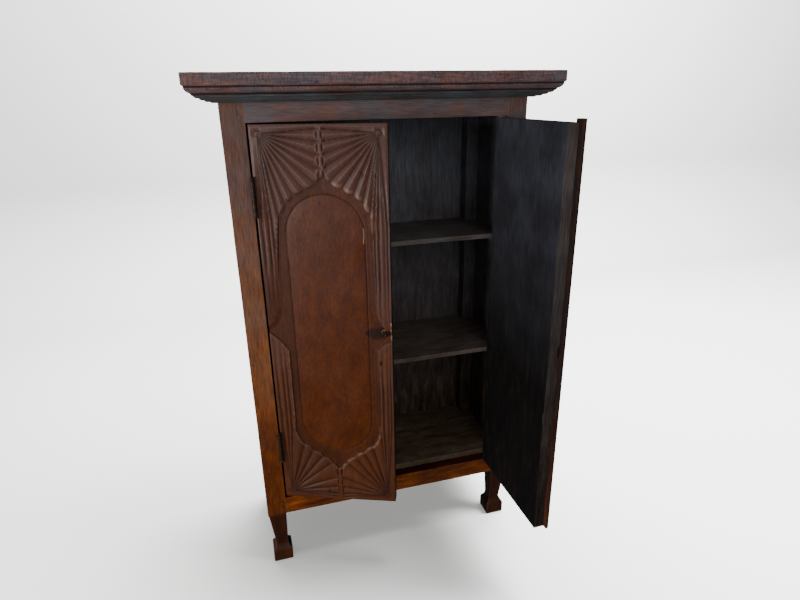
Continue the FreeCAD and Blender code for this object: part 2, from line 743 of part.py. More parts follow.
def leaf_room(x_range, z):
    return box(x_range, (-OVERRUN, LEAF_DEPTH), (z - BARREL_LENGTH / 2, z + BARREL_LENGTH / 2))


def lock_case_room():
    """The space in the door's free edge that the lock case fills. It is drawn on the right
    door, as every piece of a door is, and mirrored to the left."""
    x0 = DOOR_FREE_X + FOREND_THICK
    return box((x0, x0 + LOCK_CASE_DEPTH),
               (LOCK_Y - LOCK_CASE_THICK / 2, LOCK_Y + LOCK_CASE_THICK / 2),
               (LOCK_Z - LOCK_CASE_HEIGHT / 2, LOCK_Z + LOCK_CASE_HEIGHT / 2))


def forend_blank():
    return box((DOOR_FREE_X, DOOR_FREE_X + FOREND_THICK),
               (LOCK_Y - FOREND_WIDTH / 2, LOCK_Y + FOREND_WIDTH / 2),
               (LOCK_Z - FOREND_HEIGHT / 2, LOCK_Z + FOREND_HEIGHT / 2))


def bolt_y_range(clearance):
    """The bolt lies behind the front wall of the lock case, in front of the crank."""
    front = LOCK_Y - LOCK_CASE_THICK / 2 + LOCK_WALL + BOLT_CLEARANCE
    return (front - clearance, front + BOLT_THICK + clearance)


def bolt_room(clearance):
    x_range = (DOOR_FREE_X - OVERRUN, DOOR_FREE_X + LOCK_CASE_DEPTH / 2)
    z_range = (LOCK_Z - BOLT_HEIGHT / 2 - clearance, LOCK_Z + BOLT_HEIGHT / 2 + clearance)
    return box(x_range, bolt_y_range(clearance), z_range)


def spindle_room():
    radius = SPINDLE_RADIUS + SPINDLE_CLEARANCE
    return rod(radius, vec(KNOB_X, -OVERRUN, KNOB_Z), vec(0, 1, 0), LOCK_Y + OVERRUN)


def lock_case():
    x0 = DOOR_FREE_X + FOREND_THICK
    hollow = box((x0, x0 + LOCK_CASE_DEPTH - LOCK_WALL),
                 (LOCK_Y - LOCK_CASE_THICK / 2 + LOCK_WALL,
                  LOCK_Y + LOCK_CASE_THICK / 2 - LOCK_WALL),
                 (LOCK_Z - LOCK_CASE_HEIGHT / 2 + LOCK_WALL,
                  LOCK_Z + LOCK_CASE_HEIGHT / 2 - LOCK_WALL))
    front_hole = rod(SPINDLE_RADIUS + SPINDLE_CLEARANCE,
                     vec(KNOB_X, 0, KNOB_Z), vec(0, 1, 0), LOCK_Y)
    return lock_case_room().cut([hollow, front_hole])


def lock_forend():
    return forend_blank().cut(bolt_room(BOLT_CLEARANCE))


def lock_bolt():
    """The flat bolt, drawn back flush with the forend. One slot passes the spindle, and an
    upright one takes the crank's pin."""
    x1 = DOOR_FREE_X + FOREND_THICK + LOCK_CASE_DEPTH - LOCK_WALL - BOLT_TAIL_GAP
    z_range = (LOCK_Z - BOLT_HEIGHT / 2, LOCK_Z + BOLT_HEIGHT / 2)
    blank = box((DOOR_FREE_X, x1), bolt_y_range(0), z_range)
    half = SPINDLE_RADIUS + SPINDLE_CLEARANCE
    long_slot = box((KNOB_X - half, x1 + OVERRUN), (0, DOOR_THICK),
                    (KNOB_Z - half, KNOB_Z + half))
    pin_x = KNOB_X + BOLT_THROW / 2
    pin_low = KNOB_Z + CRANK_RADIUS * math.cos(HALF_TURN)
    half = CRANK_PIN_RADIUS + SLOT_CLEARANCE
    pin_slot = box((pin_x - half, pin_x + half), (0, DOOR_THICK),
                   (pin_low - half, KNOB_Z + CRANK_RADIUS + half))
    return blank.cut([long_slot, pin_slot])


def lock_crank():
    """The spindle, with the crank behind the bolt whose pin throws it."""
    start = FIELD_DEPTH - ROSE_THICK - KNOB_GAP
    bolt_front, bolt_back = bolt_y_range(0)
    y0 = bolt_back + CRANK_GAP
    y1 = y0 + CRANK_THICK
    inward = vec(0, 1, 0)
    spindle = rod(SPINDLE_RADIUS, vec(KNOB_X, start, KNOB_Z), inward, y1 - start)
    hub = rod(CRANK_HUB_RADIUS, vec(KNOB_X, y0, KNOB_Z), inward, CRANK_THICK)
    arm = box((KNOB_X - SPINDLE_RADIUS, KNOB_X + SPINDLE_RADIUS), (y0, y1),
              (KNOB_Z, KNOB_Z + CRANK_RADIUS))
    end = rod(SPINDLE_RADIUS, vec(KNOB_X, y0, KNOB_Z + CRANK_RADIUS), inward, CRANK_THICK)
    pin_start = bolt_front + CRANK_GAP
    pin = rod(CRANK_PIN_RADIUS, vec(KNOB_X, pin_start, KNOB_Z + CRANK_RADIUS), inward,
              y1 - pin_start)
    crank = arm.fuse([end, pin])
    crank.rotate(vec(KNOB_X, y0, KNOB_Z), inward, KNOB_TURN_DEG / 2)
    return spindle.fuse([hub, crank]).removeSplitter()


def turned(profile):
    """A solid turned about the knob's axis, from points of radius and distance out."""
    points = [vec(KNOB_X + radius, FIELD_DEPTH - out, KNOB_Z) for radius, out in profile]
    face = Part.Face(Part.makePolygon(points + [points[0]]))
    return face.revolve(vec(KNOB_X, 0, KNOB_Z), vec(0, 1, 0), 360)


def knob_rose():
    bore = SPINDLE_RADIUS + SPINDLE_CLEARANCE
    return turned(((bore, 0), (ROSE_RADIUS, 0), (ROSE_RADIUS, ROSE_THICK - ROSE_ROUND),
                   (ROSE_RADIUS - ROSE_ROUND, ROSE_THICK), (bore, ROSE_THICK)))


def knob():
    """The turned knob, dished in front, standing on the end of the spindle."""
    base = ROSE_THICK + KNOB_GAP
    neck = base + KNOB_NECK_LENGTH
    face = neck + KNOB_THICK
    return turned((
        (0, base), (KNOB_NECK_RADIUS, base), (KNOB_NECK_RADIUS, neck),
        (KNOB_RADIUS - KNOB_ROUND, neck), (KNOB_RADIUS, neck + KNOB_ROUND),
        (KNOB_RADIUS, face - KNOB_ROUND), (KNOB_RADIUS - KNOB_ROUND, face),
        (KNOB_DISH_RADIUS, face), (0, face - KNOB_DISH_DEPTH),
    ))


def strike_room():
    """The pocket in the right door's edge that the thrown bolt enters."""
    y0, y1 = bolt_y_range(STRIKE_MARGIN)
    half = BOLT_HEIGHT / 2 + STRIKE_MARGIN
    return box((DOOR_FREE_X - OVERRUN, DOOR_FREE_X + STRIKE_DEPTH), (y0, y1),
               (LOCK_Z - half, LOCK_Z + half))


def case_pieces():
    """Every piece that stands still, by name."""
    low = (SHOULDER_Z, LOW_RAIL_TOP_Z)
    high = (TOP_RAIL_Z, POST_TOP_Z)
    rear_y = (BACK_Y - REAR_RAIL_THICK, BACK_Y)
    rear_tenon = BACK_Y - (REAR_RAIL_THICK + TENON_THICK) / 2
    rails = {
        "rail_front_top": cross_rail((0, FRONT_TOP_RAIL_DEPTH), high, TENON_SETBACK),
        "rail_front_bottom": cross_rail((0, FRONT_LOW_RAIL_DEPTH), low, TENON_SETBACK),
        "rail_rear_top": cross_rail(rear_y, high, rear_tenon),
        "rail_rear_bottom": cross_rail(rear_y, low, rear_tenon),
    }
    panels = {}
    for side, name in ((LEFT, "left"), (RIGHT, "right")):
        panels["side_panel_" + name] = side_panel(side)
        for height, z_range in (("top", high), ("bottom", low)):
            rail = side_rail(side, z_range)
            rails["rail_" + name + "_" + height] = rail.cut(side_panel(side))
    pegs = Part.makeCompound(front_pegs() + side_pegs(LEFT) + side_pegs(RIGHT))
    nails = Part.makeCompound(back_nails() + bearer_nails())
    pieces = framed_posts(list(rails.values()), list(panels.values()), pegs)
    for name, rail in rails.items():
        pieces[name] = rail.cut([pegs, nails])
    for name, panel in panels.items():
        pieces[name] = panel.cut(nails)
    pieces.update(bearer_pieces(nails))
    pieces.update(board_pieces(nails))
    pieces["tenon_pegs"] = pegs
    pieces["nails"] = nails
    pieces["cornice_front"] = cornice_front()
    pieces["cornice_right"] = cornice_right()
    pieces["cornice_left"] = mirrored(cornice_right())
    return pieces


def framed_posts(rails, panels, pegs):
    """The four posts, mortised for the rails, grooved for the panels and rebated behind."""
    screws = []
    rooms = []
    for z in (UPPER_HINGE_Z, LOWER_HINGE_Z):
        screws += post_screws(z)
        rooms.append(leaf_room((OPENING_HALF - OVERRUN, OPENING_HALF + LEAF_THICK), z))
    rebate_z = back_z_range()
    posts = {}
    for side, name in ((LEFT, "left"), (RIGHT, "right")):
        hinge_cuts = [mirrored(s) if side == LEFT else s for s in screws + rooms]
        front = post_blank(side, POST_SIDE / 2, FOOT_SIDE / 2)
        posts["post_front_" + name] = front.cut(rails + panels + [pegs] + hinge_cuts)
        rebate = box((side * (OPENING_HALF - OVERRUN), side * (OPENING_HALF + BACK_REBATE)),
                     (BACK_Y, CASE_DEPTH + OVERRUN), rebate_z)
        rear = post_blank(side, CASE_DEPTH - POST_SIDE / 2, CASE_DEPTH - FOOT_SIDE / 2)
        posts["post_rear_" + name] = rear.cut(rails + panels + [pegs, rebate])
    return posts


def bearer_pieces(nails):
    pieces = {}
    for side, name in ((LEFT, "left"), (RIGHT, "right")):
        upper = shelf_bearer(side, UPPER_SHELF_Z).cut(nails)
        lower = shelf_bearer(side, LOWER_SHELF_Z).cut(nails)
        pieces["shelf_bearer_upper_" + name] = upper
        pieces["shelf_bearer_lower_" + name] = lower
    return pieces


def board_pieces(nails):
    pieces = {
        "shelf_upper": shelf(UPPER_SHELF_Z, UPPER_SHELF_SETBACK),
        "shelf_lower": shelf(LOWER_SHELF_Z, LOWER_SHELF_SETBACK),
    }
    for i, board in enumerate(floor_boards(), 1):
        pieces["floor_board_" + str(i)] = board
    for i, board in enumerate(top_boards(), 1):
        pieces["top_board_" + str(i)] = board
    for i, span in enumerate(back_spans(), 1):
        board = box(span, (BACK_Y, CASE_DEPTH), back_z_range())
        pieces["back_board_" + str(i)] = board.cut(nails)
    return pieces


def hinge_pieces():
    """The right-hand hinges, as (pieces on the post, pieces on the door)."""
    fixed = {}
    moving = {}
    for z, name in ((UPPER_HINGE_Z, "upper"), (LOWER_HINGE_Z, "lower")):
        fixed["hinge_post_leaf_" + name] = hinge_post_half(z)
        fixed["hinge_pin_" + name] = hinge_pin(z)
        moving["hinge_door_leaf_" + name] = hinge_door_half(z)
    upper = UPPER_HINGE_Z
    lower = LOWER_HINGE_Z
    moving["hinge_screws_door"] = Part.makeCompound(door_screws(upper) + door_screws(lower))
    return fixed, moving


def all_post_screws():
    right = post_screws(UPPER_HINGE_Z) + post_screws(LOWER_HINGE_Z)
    return Part.makeCompound(right + [mirrored(screw) for screw in right])


def hinged_door(board):
    """The board with room for its hinge leaves and their screws."""
    cuts = []
    for z in (UPPER_HINGE_Z, LOWER_HINGE_Z):
        cuts.append(leaf_room((DOOR_HINGE_X - LEAF_THICK, DOOR_HINGE_X + OVERRUN), z))
        cuts += door_screws(z)
    return board.cut(cuts)


def lock_pieces():
    return {
        "lock_case": lock_case(),
        "lock_forend": lock_forend(),
        "lock_bolt": lock_bolt(),
        "lock_crank": lock_crank(),
        "knob_rose": knob_rose(),
        "knob": knob(),
    }


def door_pieces():
    """Both doors, closed. The left one is the right one mirrored, with the lock let in."""
    board = hinged_door(carved_door())
    left_board = board.cut([lock_case_room(), forend_blank(), spindle_room()])
    fixed, moving = hinge_pieces()
    left = {"door_panel_left": mirrored(left_board)}
    right = {"door_panel_right": board.cut(strike_room()), "cover_strip": cover_strip()}
    still = {"hinge_screws_posts": all_post_screws()}
    for name, shape in moving.items():
        left[name + "_left"] = mirrored(shape)
        right[name + "_right"] = shape
    for name, shape in fixed.items():
        still[name + "_left"] = mirrored(shape)
        still[name + "_right"] = shape
    for name, shape in lock_pieces().items():
        left[name] = mirrored(shape)
    return still, left, right


def swing(pieces, side, degrees):
    """Opens a door about its hinge line."""
    for shape in pieces.values():
        shape.rotate(vec(side * AXIS_X, AXIS_Y, 0), UP, side * degrees)
    return pieces


def all_pieces():
    pieces = case_pieces()
    still, left, right = door_pieces()
    pieces.update(still)
    pieces.update(swing(left, LEFT, LEFT_REST_DEG))
    pieces.update(swing(right, RIGHT, RIGHT_REST_DEG))
    return pieces


def place_and_write(pieces):
    """Moves the origin under the middle of the whole, and writes one file for each piece."""
    whole = Part.makeCompound(list(pieces.values())).BoundBox
    middle_y = (whole.YMin + whole.YMax) / 2
    for name, shape in pieces.items():
        shape.translate(vec(0, -middle_y, 0))
        shape.exportStep("parts/" + name + ".step")
        if not shape.isValid():
            print("not valid:", name)
    print("pieces:", len(pieces), " front of the posts at Y =", round(-middle_y, 4))
    print("hinge lines at X = +-", AXIS_X, " Y =", round(AXIS_Y - middle_y, 4))
    print("box:", whole)


if __name__ == "__main__":
    os.makedirs("parts", exist_ok=True)
    place_and_write(all_pieces())
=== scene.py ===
"""Dresses an old carved cupboard of waxed teak around its fixed frame, and lights it."""

import json
import logging
import math
from dataclasses import dataclass, field
from enum import Enum

import bpy
import numpy as np
from bpy.types import Collection, Material, Mesh, Node, NodeSocket, NodeTree, Object
from mathutils import Matrix, Vector, noise

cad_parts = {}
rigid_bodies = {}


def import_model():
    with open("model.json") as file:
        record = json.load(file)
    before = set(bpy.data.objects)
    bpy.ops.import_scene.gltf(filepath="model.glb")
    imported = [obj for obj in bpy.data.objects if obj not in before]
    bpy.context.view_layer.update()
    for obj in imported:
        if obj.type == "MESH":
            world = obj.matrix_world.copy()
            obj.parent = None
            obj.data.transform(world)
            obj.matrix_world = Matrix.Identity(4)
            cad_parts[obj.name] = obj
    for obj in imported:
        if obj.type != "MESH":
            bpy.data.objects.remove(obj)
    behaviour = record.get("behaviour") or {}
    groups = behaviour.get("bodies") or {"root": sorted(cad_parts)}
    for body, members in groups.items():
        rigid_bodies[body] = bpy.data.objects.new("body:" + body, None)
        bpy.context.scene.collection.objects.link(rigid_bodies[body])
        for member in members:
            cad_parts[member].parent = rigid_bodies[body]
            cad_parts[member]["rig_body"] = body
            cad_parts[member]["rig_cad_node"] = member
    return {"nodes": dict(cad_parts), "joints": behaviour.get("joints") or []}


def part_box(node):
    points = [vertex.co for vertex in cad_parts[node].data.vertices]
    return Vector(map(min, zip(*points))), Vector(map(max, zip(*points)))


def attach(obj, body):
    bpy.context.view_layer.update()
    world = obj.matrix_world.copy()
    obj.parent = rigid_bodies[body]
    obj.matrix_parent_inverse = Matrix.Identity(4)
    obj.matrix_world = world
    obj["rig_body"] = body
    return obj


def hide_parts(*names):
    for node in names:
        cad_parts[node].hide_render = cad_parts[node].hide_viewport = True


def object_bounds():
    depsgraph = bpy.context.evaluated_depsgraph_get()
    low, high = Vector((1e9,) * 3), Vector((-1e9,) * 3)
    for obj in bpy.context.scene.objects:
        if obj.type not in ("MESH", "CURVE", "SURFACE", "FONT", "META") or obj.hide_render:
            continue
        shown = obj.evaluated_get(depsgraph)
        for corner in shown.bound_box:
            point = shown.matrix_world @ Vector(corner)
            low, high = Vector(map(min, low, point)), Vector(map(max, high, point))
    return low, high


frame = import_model()
CAD_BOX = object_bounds()

LOG = logging.getLogger("cupboard")
CASE = "case"
Colour = tuple[float, float, float, float]
# The vector noise would start from the clock without a seed.
NOISE_SEED = 7
# The attributes that a carved mesh holds at its points.
# Grime holds dirt and painted shade; crest and scratch hold wear and painted highlights.
CARVED_MARKS = ("crest", "grime", "stain", "scratch")


class Grain(Enum):
    """The row axis that the wood's fibres run along."""

    ALONG_X = 0
    ALONG_Y = 1
    ALONG_Z = 2


class Side(Enum):
    """Which half of the cupboard a piece is on, as the sign of its X."""

    LEFT = -1
    RIGHT = 1

    @property
    def word(self) -> str:
        """The side's name as the frame's nodes spell it."""
        return self.name.lower()


def mm(value: float) -> float:
    """Millimetres, as the scene's metres."""
    return value / 1000


def linear(hex_colour: str) -> Colour:
    """Turns an sRGB colour into the linear values that a shader takes.

    Args:
        hex_colour: Six hex digits after a hash sign.

    Returns:
        Linear red, green, blue and an alpha of 1.
    """
    parts = [int(hex_colour[i:i + 2], 16) / 255 for i in (1, 3, 5)]
    red, green, blue = (c / 12.92 if c <= 0.04045 else ((c + 0.055) / 1.055) ** 2.4 for c in parts)
    return red, green, blue, 1.0


def add_node(tree: NodeTree, kind: str, settings: dict | None = None,
             inputs: dict | None = None) -> Node:
    """Adds one shader node.

    Args:
        tree: The material's node tree.
        kind: The node's class name, without its "ShaderNode" beginning.
        settings: Properties of the node, by name.
        inputs: Values or output sockets, by the name or number of the input that they go to.

    Returns:
        The new node.
    """
    node = tree.nodes.new("ShaderNode" + kind)
    for name, value in (settings or {}).items():
        setattr(node, name, value)
    for key, value in (inputs or {}).items():
        if isinstance(value, NodeSocket):
            tree.links.new(value, node.inputs[key])
        else:
            node.inputs[key].default_value = value
    return node


def ramp(tree: NodeTree, factor: NodeSocket, stops: list[tuple[float, Colour]]) -> NodeSocket:
    """Adds a colour ramp and sets its stops.

    Args:
        tree: The material's node tree.
        factor: The socket that drives the ramp.
        stops: Pairs of position and linear colour, in rising order.

    Returns:
        The ramp's colour output.
    """
    node = add_node(tree, "ValToRGB", inputs={"Fac": factor})
    band = node.color_ramp
    while len(band.elements) < len(stops):
        band.elements.new(1.0)
    for element, (position, colour) in zip(band.elements, stops):
        element.position = position
        element.color = colour
    return node.outputs["Color"]


def mix(tree: NodeTree, factor: NodeSocket | float, first: object, second: object,
        blend: str = "MIX") -> NodeSocket:
    """Mixes two colours.

    Args:
        tree: The material's node tree.
        factor: How much of the second colour there is.
        first: A colour or a colour socket.
        second: A colour or a colour socket.
        blend: The way that the colours are mixed.

    Returns:
        The mixed colour.
    """
    settings = {"data_type": "RGBA", "blend_type": blend, "clamp_factor": True}
    node = add_node(tree, "Mix", settings, {0: factor, 6: first, 7: second})
    return node.outputs[2]


def remap(tree: NodeTree, value: NodeSocket, low: float, high: float,
          to_low: float = 0.0, to_high: float = 1.0) -> NodeSocket:
    """Maps a value from one range to another, and holds it there.

    Args:
        tree: The material's node tree.
        value: The socket to map.
        low: The value that gives to_low.
        high: The value that gives to_high.
        to_low: The result at low.
        to_high: The result at high.

    Returns:
        The mapped value.
    """
    inputs = {"Value": value, "From Min": low, "From Max": high,
              "To Min": to_low, "To Max": to_high}
    return add_node(tree, "MapRange", {"clamp": True}, inputs).outputs["Result"]


def maths(tree: NodeTree, operation: str, *values: object, clamp: bool = False) -> NodeSocket:
    """Works one thing out from others.

    Args:
        tree: The material's node tree.
        operation: The name of the operation.
        values: Numbers or sockets, in the operation's own order.
        clamp: Whether the result is held between 0 and 1.

    Returns:
        The result.
    """
    settings = {"operation": operation, "use_clamp": clamp}
    return add_node(tree, "Math", settings, dict(enumerate(values))).outputs[0]


def cloudy(tree: NodeTree, place: NodeSocket, size: float, detail: float,
           twist: float = 0.0) -> NodeSocket:
    """Adds a noise.

    Args:
        tree: The material's node tree.
        place: The coordinates that it is read at.
        size: The width of a feature, in millimetres.
        detail: How many finer octaves it has.
        twist: How much it bends itself.

    Returns:
        The noise value.
    """
    inputs = {"Vector": place, "Scale": 1 / mm(size), "Detail": detail, "Distortion": twist}
    return add_node(tree, "TexNoise", inputs=inputs).outputs["Fac"]


def height_of(tree: NodeTree, place: NodeSocket) -> NodeSocket:
    """The Z of a point."""
    return add_node(tree, "SeparateXYZ", inputs={0: place}).outputs["Z"]


def amount_of(tree: NodeTree, name: str) -> NodeSocket:
    """The value of a mesh's attribute."""
    return add_node(tree, "Attribute", {"attribute_name": name}).outputs["Fac"]


def add_bump(tree: NodeTree, shader: Node, height: NodeSocket, strength: float,
             depth: float) -> None:
    """Gives a shader a fine relief.

    Args:
        tree: The material's node tree.
        shader: The shader.
        height: The relief's height, from 0 to 1.
        strength: How much of it shows.
        depth: Its depth, in millimetres.
    """
    inputs = {"Strength": strength, "Distance": mm(depth), "Height": height}
    bump = add_node(tree, "Bump", inputs=inputs)
    tree.links.new(bump.outputs["Normal"], shader.inputs["Normal"])


def shader_of(name: str) -> tuple[Material, NodeTree, Node]:
    """Makes an empty material with one surface shader.

    Args:
        name: The material's name.

    Returns:
        The material, its node tree and its Principled shader.
    """
    material = bpy.data.materials.new(name)
    material.use_nodes = True
    tree = material.node_tree
    tree.nodes.clear()
    shader = add_node(tree, "BsdfPrincipled")
    add_node(tree, "OutputMaterial", inputs={"Surface": shader.outputs["BSDF"]})
    return material, tree, shader


@dataclass(frozen=True)
class WaxedTeak:
    """Old teak, planed by hand and waxed often: fine straight fibres, open pores, a soft sheen.

    It is warm and clean low down, and greyer towards the top, where dust has dulled the wax and a
    painted glare greys it further.
    Sizes of figure, fibres and specks are real ones across the grain, in millimetres.
    """

    name: str
    grain: Grain
    dark: str = "#391903"
    heart: str = "#5b2a05"
    pale: str = "#773c06"
    bloom: str = "#4a4546"
    soot: str = "#0a0504"
    worn: str = "#7a563c"
    bloom_amount: float = 0.7
    # How much of the grey film, old dust and painted glare, lies on the wood where nothing is
    # carved.
    film_level: float = 0.9
    figure_mm: float = 18.0
    # The fibres of teak are under 1 mm apart. Drawn coarser, they show from a step away.
    fibre_mm: float = 3.0
    mottle_mm: float = 5.0
    cloud_mm: float = 110.0
    crack_mm: float = 3.5
    speck_mm: float = 2.4
    speck_apart_mm: float = 34.0
    # How many of the places for a speck have one.
    speck_share: float = 0.3
    figure_stretch: float = 5.0
    fibre_stretch: float = 14.0
    fibre_share: float = 0.7
    crackle_share: float = 0.0
    leg_dirt: bool = False
    # A colour that the dirt and painted shade on the legs and feet is multiplied by.
    leg_tint: tuple = (1.0, 1.0, 1.0)
    # How strongly blotches of a few millimetres and clouds of a hand's width show.
    blotch_share: float = 0.5
    cloud_share: float = 0.5
    # The marks of a piece that the finish shows, by the names of its attributes.
    marks: tuple = ()
    roughness: float = 0.42
    # Wax worn thin shines less than a full coat would.
    sheen_share: float = 0.16
    edge_wear: float = 0.55
    # How far from a sharp edge the wear and painted highlight reach.
    edge_mm: float = 5.0
    relief_mm: float = 0.35
    warm_z_mm: float = 350.0
    grey_z_mm: float = 1350.0
    # Knots, each as X, Y, Z and radius in millimetres.
    knots: tuple = ()

    def pattern(self, tree: NodeTree, place: NodeSocket, size: float,
                stretch: float, detail: float, twist: float = 0.0) -> NodeSocket:
        """Noise drawn out along the grain.

        Args:
            tree: The material's node tree.
            place: Object coordinates.
            size: The width of a feature across the grain, in millimetres.
            stretch: How many times longer a feature is than wide.
            detail: How many finer octaves the noise has.
            twist: How much the noise bends itself.

        Returns:
            The noise value.
        """
        return cloudy(tree, self.along_grain(tree, place, stretch), size, detail, twist)

    def along_grain(self, tree: NodeTree, place: NodeSocket, stretch: float) -> NodeSocket:
        """Coordinates that draw a pattern out along the grain by a factor."""
        scale = [1.0, 1.0, 1.0]
        scale[self.grain.value] = 1.0 / stretch
        return add_node(tree, "Mapping", inputs={"Vector": place, "Scale": scale}).outputs["Vector"]

    def specks(self, tree: NodeTree, place: NodeSocket) -> NodeSocket:
        """Pin knots and worm holes, scattered wide apart.

        Args:
            tree: The material's node tree.
            place: Object coordinates.

        Returns:
            1 in a speck and 0 away from it.
        """
        stretched = self.along_grain(tree, place, 2.0)
        cells = add_node(tree, "TexVoronoi",
                         inputs={"Vector": stretched, "Scale": 1 / mm(self.speck_apart_mm)})
        drawn = add_node(tree, "SeparateColor", inputs={0: cells.outputs["Color"]})
        size = remap(tree, drawn.outputs["Green"], 0.0, 1.0, 0.4, 1.4)
        away = maths(tree, "DIVIDE", cells.outputs["Distance"], size)
        reach = self.speck_mm / self.speck_apart_mm
        spot = remap(tree, away, reach, reach * 2.2, 0.85, 0.0)
        kept = maths(tree, "LESS_THAN", drawn.outputs["Red"], self.speck_share)
        return maths(tree, "MULTIPLY", spot, kept)

    def knot_shade(self, tree: NodeTree, place: NodeSocket,
                   ragged: NodeSocket) -> NodeSocket | float:
        """The dark of the named knots.

        Args:
            tree: The material's node tree.
            place: Object coordinates.
            ragged: A noise that makes their edges uneven.

        Returns:
            1 in a knot's heart and 0 away from it.
        """
        shade = 0.0
        for x, y, z, radius in self.knots:
            away = add_node(tree, "VectorMath", {"operation": "DISTANCE"},
                            {0: place, 1: (mm(x), mm(y), mm(z))}).outputs["Value"]
            loose = maths(tree, "MULTIPLY_ADD", ragged, mm(radius), away)
            here = remap(tree, loose, mm(radius * 1.7), mm(radius * 0.9))
            shade = maths(tree, "MAXIMUM", here, shade)
        return shade

    def worn_edge(self, tree: NodeTree, patchy: NodeSocket) -> NodeSocket:
        """How much an arris is rubbed pale and painted with a highlight: 0 on a flat face, and up
        to 1 on a sharp edge.
        """
        rounded = add_node(tree, "Bevel", {"samples": 4}, {"Radius": mm(self.edge_mm)})
        true_normal = add_node(tree, "NewGeometry").outputs["Normal"]
        dot = add_node(tree, "VectorMath", {"operation": "DOT_PRODUCT"},
                       {0: rounded.outputs["Normal"], 1: true_normal})
        edge = remap(tree, dot.outputs["Value"], 0.985, 0.86, 0.0, self.edge_wear)
        rubbed_and_lit = remap(tree, patchy, 0.42, 0.6, 0.25, 1.0)
        return maths(tree, "MULTIPLY", edge, rubbed_and_lit)

    def dust_film(self, tree: NodeTree, place: NodeSocket, cloud: NodeSocket) -> NodeSocket:
        """How much old dust and a painted glare grey the wax, growing with height."""
        by_height = remap(tree, height_of(tree, place), mm(self.warm_z_mm), mm(self.grey_z_mm),
                       0.0, self.bloom_amount)
        patch = remap(tree, cloud, 0.36, 0.62, 0.55, 1.0)
        return maths(tree, "MULTIPLY", by_height, patch)

    def leg_shade(self, tree: NodeTree, place: NodeSocket) -> NodeSocket:
        """Dirt, scuffs and painted shade as a colour to multiply by: dark on the legs, greyer on
        the feet, and lighter at mid height as painted light.
        """
        scuffed_and_shaded, dirty_and_shaded = (tuple(a * b for a, b in zip(shade, self.leg_tint))
                          for shade in ((0.27, 0.41, 0.98), (0.23, 0.23, 0.28)))
        # Heights in millimetres, and the colour at each. The dark legs are painted shadow from the
        # case as well as dirt; the lift at mid height is painted light.
        stops = ((60, scuffed_and_shaded), (76, dirty_and_shaded), (196, dirty_and_shaded), (212, (0.66, 0.66, 0.66)),
                 (480, (0.76, 0.74, 0.7)), (760, (1.25, 1.38, 1.15)), (1100, (1.3, 1.4, 1.25)),
                 (1350, (0.95, 1, 1)))
        top = 1600.0
        share = remap(tree, height_of(tree, place), 0.0, mm(top))
        return ramp(tree, share, [(z / top, (*shade, 1)) for z, shade in stops])

    def material(self) -> Material:
        """Builds the material.

        Returns:
            A material that reads Object coordinates and the carving's attributes.
        """
        made, tree, shader = shader_of(self.name)
        place = add_node(tree, "TexCoord").outputs["Object"]
        figure = self.pattern(tree, place, self.figure_mm, self.figure_stretch, 6.0, 0.4)
        fibre = self.pattern(tree, place, self.fibre_mm, self.fibre_stretch, 3.0)
        mottle = self.pattern(tree, place, self.mottle_mm, 2.2, 3.0, 0.3)
        cloud = cloudy(tree, place, self.cloud_mm, 5.0)
        specks = self.specks(tree, place) if self.speck_share else 0.0

        stops = [(0.3, linear(self.dark)), (0.5, linear(self.heart)), (0.7, linear(self.pale))]
        colour = ramp(tree, figure, stops)
        fine = ramp(tree, fibre, [(0.32, (0.5, 0.46, 0.42, 1)), (0.68, (1.45, 1.42, 1.4, 1))])
        colour = mix(tree, self.fibre_share, colour, fine, "MULTIPLY")
        blotch = ramp(tree, mottle, [(0.34, (0.7, 0.66, 0.6, 1)), (0.64, (1.22, 1.2, 1.18, 1))])
        colour = mix(tree, self.blotch_share, colour, blotch, "MULTIPLY")
        broad = ramp(tree, cloud, [(0.35, (0.7, 0.66, 0.62, 1)), (0.65, (1.2, 1.18, 1.15, 1))])
        colour = mix(tree, self.cloud_share, colour, broad, "MULTIPLY")
        # Crests: rubbed wood and a painted highlight on the ridges, more of it higher up.
        crest = 0.0
        if "crest" in self.marks:
            crest = amount_of(tree, "crest")
            share = remap(tree, height_of(tree, place), mm(350), mm(950), 0.1, 0.25)
            colour = mix(tree, maths(tree, "MULTIPLY", crest, share), colour, linear(self.worn))
        # Crests take more of the grey film: painted glare on the ridges as well as dust.
        caught = maths(tree, "ADD", crest, self.film_level)
        film = maths(tree, "MULTIPLY", caught, self.dust_film(tree, place, cloud), clamp=True)
        bloom = linear(self.bloom)
        upper_tint_colour = mix(tree, 0.5, bloom, mix(tree, 1.0, bloom, fine, "MULTIPLY"))
        colour = mix(tree, film, colour, upper_tint_colour)
        if self.crackle_share:
            upright = {"Vector": place, "Scale": (1.0, 1.0, 0.25)}
            cracks = cloudy(tree, add_node(tree, "Mapping", inputs=upright).outputs[0],
                            self.crack_mm, 2.0)
            cracked = ramp(tree, cracks,
                           [(0.36, (0.5, 0.48, 0.5, 1)), (0.55, (1.15, 1.15, 1.15, 1))])
            colour = mix(tree, self.crackle_share, colour, cracked, "MULTIPLY")
        # Painted shadow and light by height, with dirt and scuffs on the legs.
        if self.leg_dirt:
            colour = mix(tree, 1.0, colour, self.leg_shade(tree, place), "MULTIPLY")
        if self.speck_share:
            colour = mix(tree, specks, colour, linear(self.soot))
        if self.knots:
            colour = mix(tree, self.knot_shade(tree, place, figure), colour, linear(self.soot))
        # Arrises: rubbed wood and a painted highlight.
        if self.edge_wear:
            colour = mix(tree, self.worn_edge(tree, mottle), colour, linear(self.worn))
        colour, grime = self.old_marks(tree, colour)

